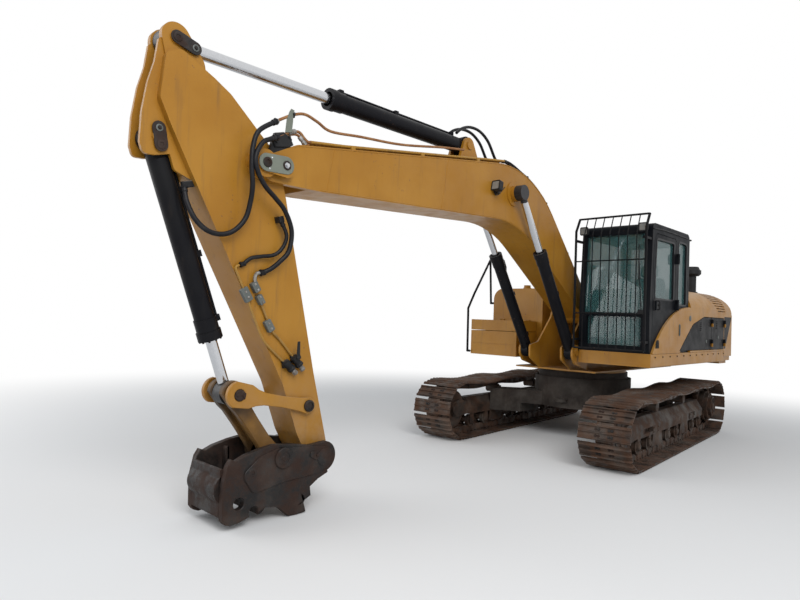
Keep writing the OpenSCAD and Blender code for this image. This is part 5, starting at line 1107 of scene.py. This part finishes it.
def quick_couplings(bright):
    """The two quick couplings at the pipes' lower ends; their noses join the bright shapes handed in."""
    body = [(20, 0), (34, 6), (36, 40), (30, 50), (30, 78), (36, 84), (36, 100), (22, 108)]
    nose = [(18, 0), (21, 3), (21, 28), (24, 30), (24, 50), (19, 54), (12, 54)]
    valves = []
    for x, z, x1, z1 in ((1.600, 0.150, 1.700, 0.085), (1.585, 0.058, 1.700, 0.000)):
        along = np.array([x1 - x, 0.0, z1 - z])
        along /= np.linalg.norm(along)
        p = np.array([x, 0.196, z])
        bright.append(lathed(nose, 20, p + 0.104 * along, along, LEFT))
        valves += [lathed(body, 20, p, along, LEFT),
                   box((x - 0.005, STICK_SIDE, z - 0.045), (x + 0.055, 0.190, z + 0.015), 0.005)]
    stem = edge_line([(1.612, 0.060, 0.01), (1.612, 0.010, 0.01), (1.575, 0.016, 0.01), (1.470, -0.012, 0.006),
                      (1.466, 0.014, 0.006), (1.575, 0.050, 0.01)], 4)
    pivot = [(16, 0), (16, 22), (10, 26)]
    valves += [plate(stem, 0.232, 0.242, 0.003), knob((1.600, 0.036), 0.222, pivot, 16)]
    stick_piece("quick_couplings", valves, "black_plastic")
    stick_piece("coupling_noses", bright, "zinc")


def stick_fittings():
    """Keeper plates over both pins at the stick's top with washers and bolts, and bosses round its end pins."""
    washer = [(26, 0), (26, 4), (18, 7), (16, 5)]
    ring = [(34, 0), (34, 4), (28, 7), (16, 7), (14, 2)]
    foot = [(78, 0), (78, 18), (70, 24), (50, 24)]
    top = [(120, 0), (120, 10), (112, 14), (85, 14)]
    dark, pale, bosses = [], [], []
    for s in (-1, 1):
        for pin, bolt, y, wide in ((STICK_TOP, (-0.878, 0.330), 0.1300, 0.049),
                                   ((-0.206, 0.748), (-0.322, 0.737), 0.1140, 0.050)):
            high = y + 0.0115
            dark += [plate(slot_outline(pin, bolt, wide, 14), s * (y - 0.001), s * high, 0.003),
                     knob(pin, high, ring, 28, s),
                     bolts([(bolt[0], s * (high + 0.005), bolt[1])], 0.011, 0.011, (0, s, 0))]
            pale.append(knob(bolt, high, washer, 22, s))
        dark.append(knob((STICK_LENGTH, 0.0), 0.1605, foot, 36, s))
        bosses.append(knob((0.0, 0.0), 0.1602, top, 40, s))
    stick_piece("stick_keepers", dark, "worn_steel")
    stick_piece("keeper_washers", pale, "clamp_grey")
    stick_piece("stick_bosses", bosses, "yellow_paint")


coupler_body()
guide_links()
power_link()
stick_pipes()
stick_fittings()


# House

DECK_SIDE = 1.4


def side_fittings():
    """On the left side: the vent at the bow's foot, the pull recess and lock of the yellow panel, and the door locks;
    the vent's opening and the recess are near-black sheets of painted shade.
    """
    y = DECK_SIDE
    vent = edge_line([(0.730, 1.380), (0.850, 1.380), (0.838, 1.430), (0.800, 1.485), (0.745, 1.485)], 3, 0.01)
    pull = edge_line(rectangle(0.000, 1.545, 0.034, 1.690), 6, 0.015)
    # The vent's back plate and the sheet inside the pull are painted shade of their openings; the slats take the same
    # near-black
    dark = [plate(vent, y - 0.004, y + 0.003, 0.001), plate(inset(pull, 0.006), y - 0.002, y + 0.0015)]
    for k in range(5):
        slat = 1.390 + 0.018 * k
        dark.append(box((0.738, y + 0.002, slat), (0.838 - 0.008 * k, y + 0.008, slat + 0.007), 0.002))
    house_piece("panel_vent_and_pull", dark, "dark_gap")
    panel = [(42, 0), (42, 3), (36, 6), (12, 6), (10, 3)]
    door = [(26, 0), (26, 4), (20, 7), (8, 7)]
    locks = [band(pull, 0.008, 0.004, y, y + 0.006), knob((-0.396, 1.785), y, panel, 28),
             lathed(door, 20, [(-1.66, y, 1.52), (-1.10, y, 1.46)])]
    house_piece("panel_locks", locks, "clamp_grey")


def cab_roof_fittings():
    """The stub at the cab's rear corner and the drip rail over the door."""
    corner = np.array([CAB_REAR, CAB_Y1, CAB_TOP])
    stub = corner + [(0.012, -0.045, -0.075), (-0.045, -0.030, -0.068), (-0.110, -0.022, -0.062)]
    rail = [(x, CAB_Y1 + 0.006, CAB_TOP - down) for x, down in ((0.92, 0.075), (0.5, 0.058), (-0.30, 0.062))]
    house_piece("cab_roof_fittings", [pipe(stub, 0.013, 10, 4), pipe(rail, 0.008, 8)], "black_plastic")


def boom_lamp_face():
    """Rim, lens and cable of the boom's work lamp."""
    rim, lens = lamp_face((2.722, 0.287, 0.940), half=0.056, corner=0.018, outer=0.003, deep=0.007, thick=0.004)
    cable = [(2.680, 0.270, 0.890), (2.640, 0.240, 0.860), (2.560, 0.232, 0.900), (2.470, 0.232, 1.020)]
    boom_piece("boom_lamp_rim", [rim, pipe(cable, 0.005, 8)], "black_plastic")
    boom_piece("boom_lamp_lens", [lens], "lamp_lens")


def deck_screws():
    """Screws along the deck's side rim."""
    places = [(x, DECK_SIDE + 0.0003, 1.268) for x in np.linspace(-1.95, 0.85, 12)]
    house_piece("deck_screws", [bolts(places, 0.009, 0.008)], "worn_steel")


def gland_bolts():
    """Bolts round the bucket cylinder's gland, at the rod's end of its barrel."""
    start, end = on_stick(lifted([BUCKET_BASE, LINK_PIN], 0.0))
    along = (end - start) / np.linalg.norm(end - start)
    ring = circle(0.084, 10)
    places = start + along * 1.540 + ring[:, :1] * LEFT + ring[:, 1:] * np.cross(along, LEFT)
    piece("bucket_gland_bolts", bolts(places, 0.009, 0.010, along, LEFT), "worn_steel", "bucket_barrel")


side_fittings()
cab_roof_fittings()
boom_lamp_face()
deck_screws()
gland_bolts()


# Camera, light and floor

def stand(thing, axes, place):
    """Put an object into the scene at a place, its three axes as the columns of its turn."""
    turn = np.column_stack(axes)
    thing.matrix_world = Matrix([[*turn[i], place[i]] for i in range(3)] + [[0, 0, 0, 1]])
    bpy.context.scene.collection.objects.link(thing)


def photo_camera():
    """The photograph's own viewpoint: yaw, pitch and roll of a pinhole fitted to the pins, tracks and cab."""
    yaw, pitch, roll = (math.radians(a) for a in (223.914, 1.631, 2.022))
    forward = np.array([math.cos(yaw) * math.cos(pitch), math.sin(yaw) * math.cos(pitch), math.sin(pitch)])
    right = np.array([math.sin(yaw), -math.cos(yaw), 0.0])
    up = np.cross(right, forward)
    right, up = right * math.cos(roll) + up * math.sin(roll), -right * math.sin(roll) + up * math.cos(roll)
    lens = bpy.data.cameras.new("photo_camera")
    lens.sensor_width = 36.0
    lens.lens = 600.99 / 800 * 36.0
    lens.clip_end = 200.0
    camera = bpy.data.objects.new("photo_camera", lens)
    stand(camera, [right, up, -forward], (8.512 - SWING_BACK, 4.312, 1.661))
    bpy.context.scene.camera = camera


def pale_floor():
    """A wide pale floor that turns white far out."""
    mesh = bpy.data.meshes.new("floor")
    mesh.from_pydata([(60.0 * x, 60.0 * y, 0) for x, y in rectangle(-1, -1, 1, 1)], [], [(0, 1, 2, 3)])
    f = Finish("floor")
    f.shade((0.80, 0.80, 0.80), 0.9, Specular_IOR_Level=0.1)
    far = f.add("VectorMath", {0: f.place}, operation="LENGTH")["Value"]
    white = f.add("Emission", {})[0]
    f.either(f.times(f.step(far, 5.0, 12.0), f.seen()), f.shader.outputs[0], white, "Material Output")
    mesh.materials.append(f.material)
    floor = bpy.data.objects.new("floor", mesh)
    bpy.context.scene.collection.objects.link(floor)


def lights():
    """A soft world light, one broad key light high on the camera's left and a weaker one on the far side."""
    world = bpy.data.worlds.new("studio")
    world.use_nodes = True
    w = Nodes(world.node_tree)
    base = w.tree.nodes["Background"]
    w.put(base.inputs["Color"], (0.92, 0.96, 1.0))
    w.put(base.inputs["Strength"], 0.50)
    white = w.add("Background", {"Color": (1.0, 1.0, 1.0), "Strength": 1.0})[0]
    w.either(w.seen(), base.outputs[0], white, "World Output")
    bpy.context.scene.world = world
    for name, place, width, power in (("key", (7.0, 9.0, 9.0), 7.0, 1000.0), ("fill", (9.0, -7.0, 5.0), 8.0, 340.0)):
        light = bpy.data.lights.new(name, "AREA")
        light.size, light.energy = width, power
        z = np.array(place) - [0.0, 0.0, 1.2]
        z /= np.linalg.norm(z)
        x = np.cross([0, 0, 1], z)
        x /= np.linalg.norm(x)
        stand(bpy.data.objects.new(name, light), [x, np.cross(z, x), z], place)
    bpy.context.scene.view_settings.view_transform = "Standard"


photo_camera()
pale_floor()
lights()
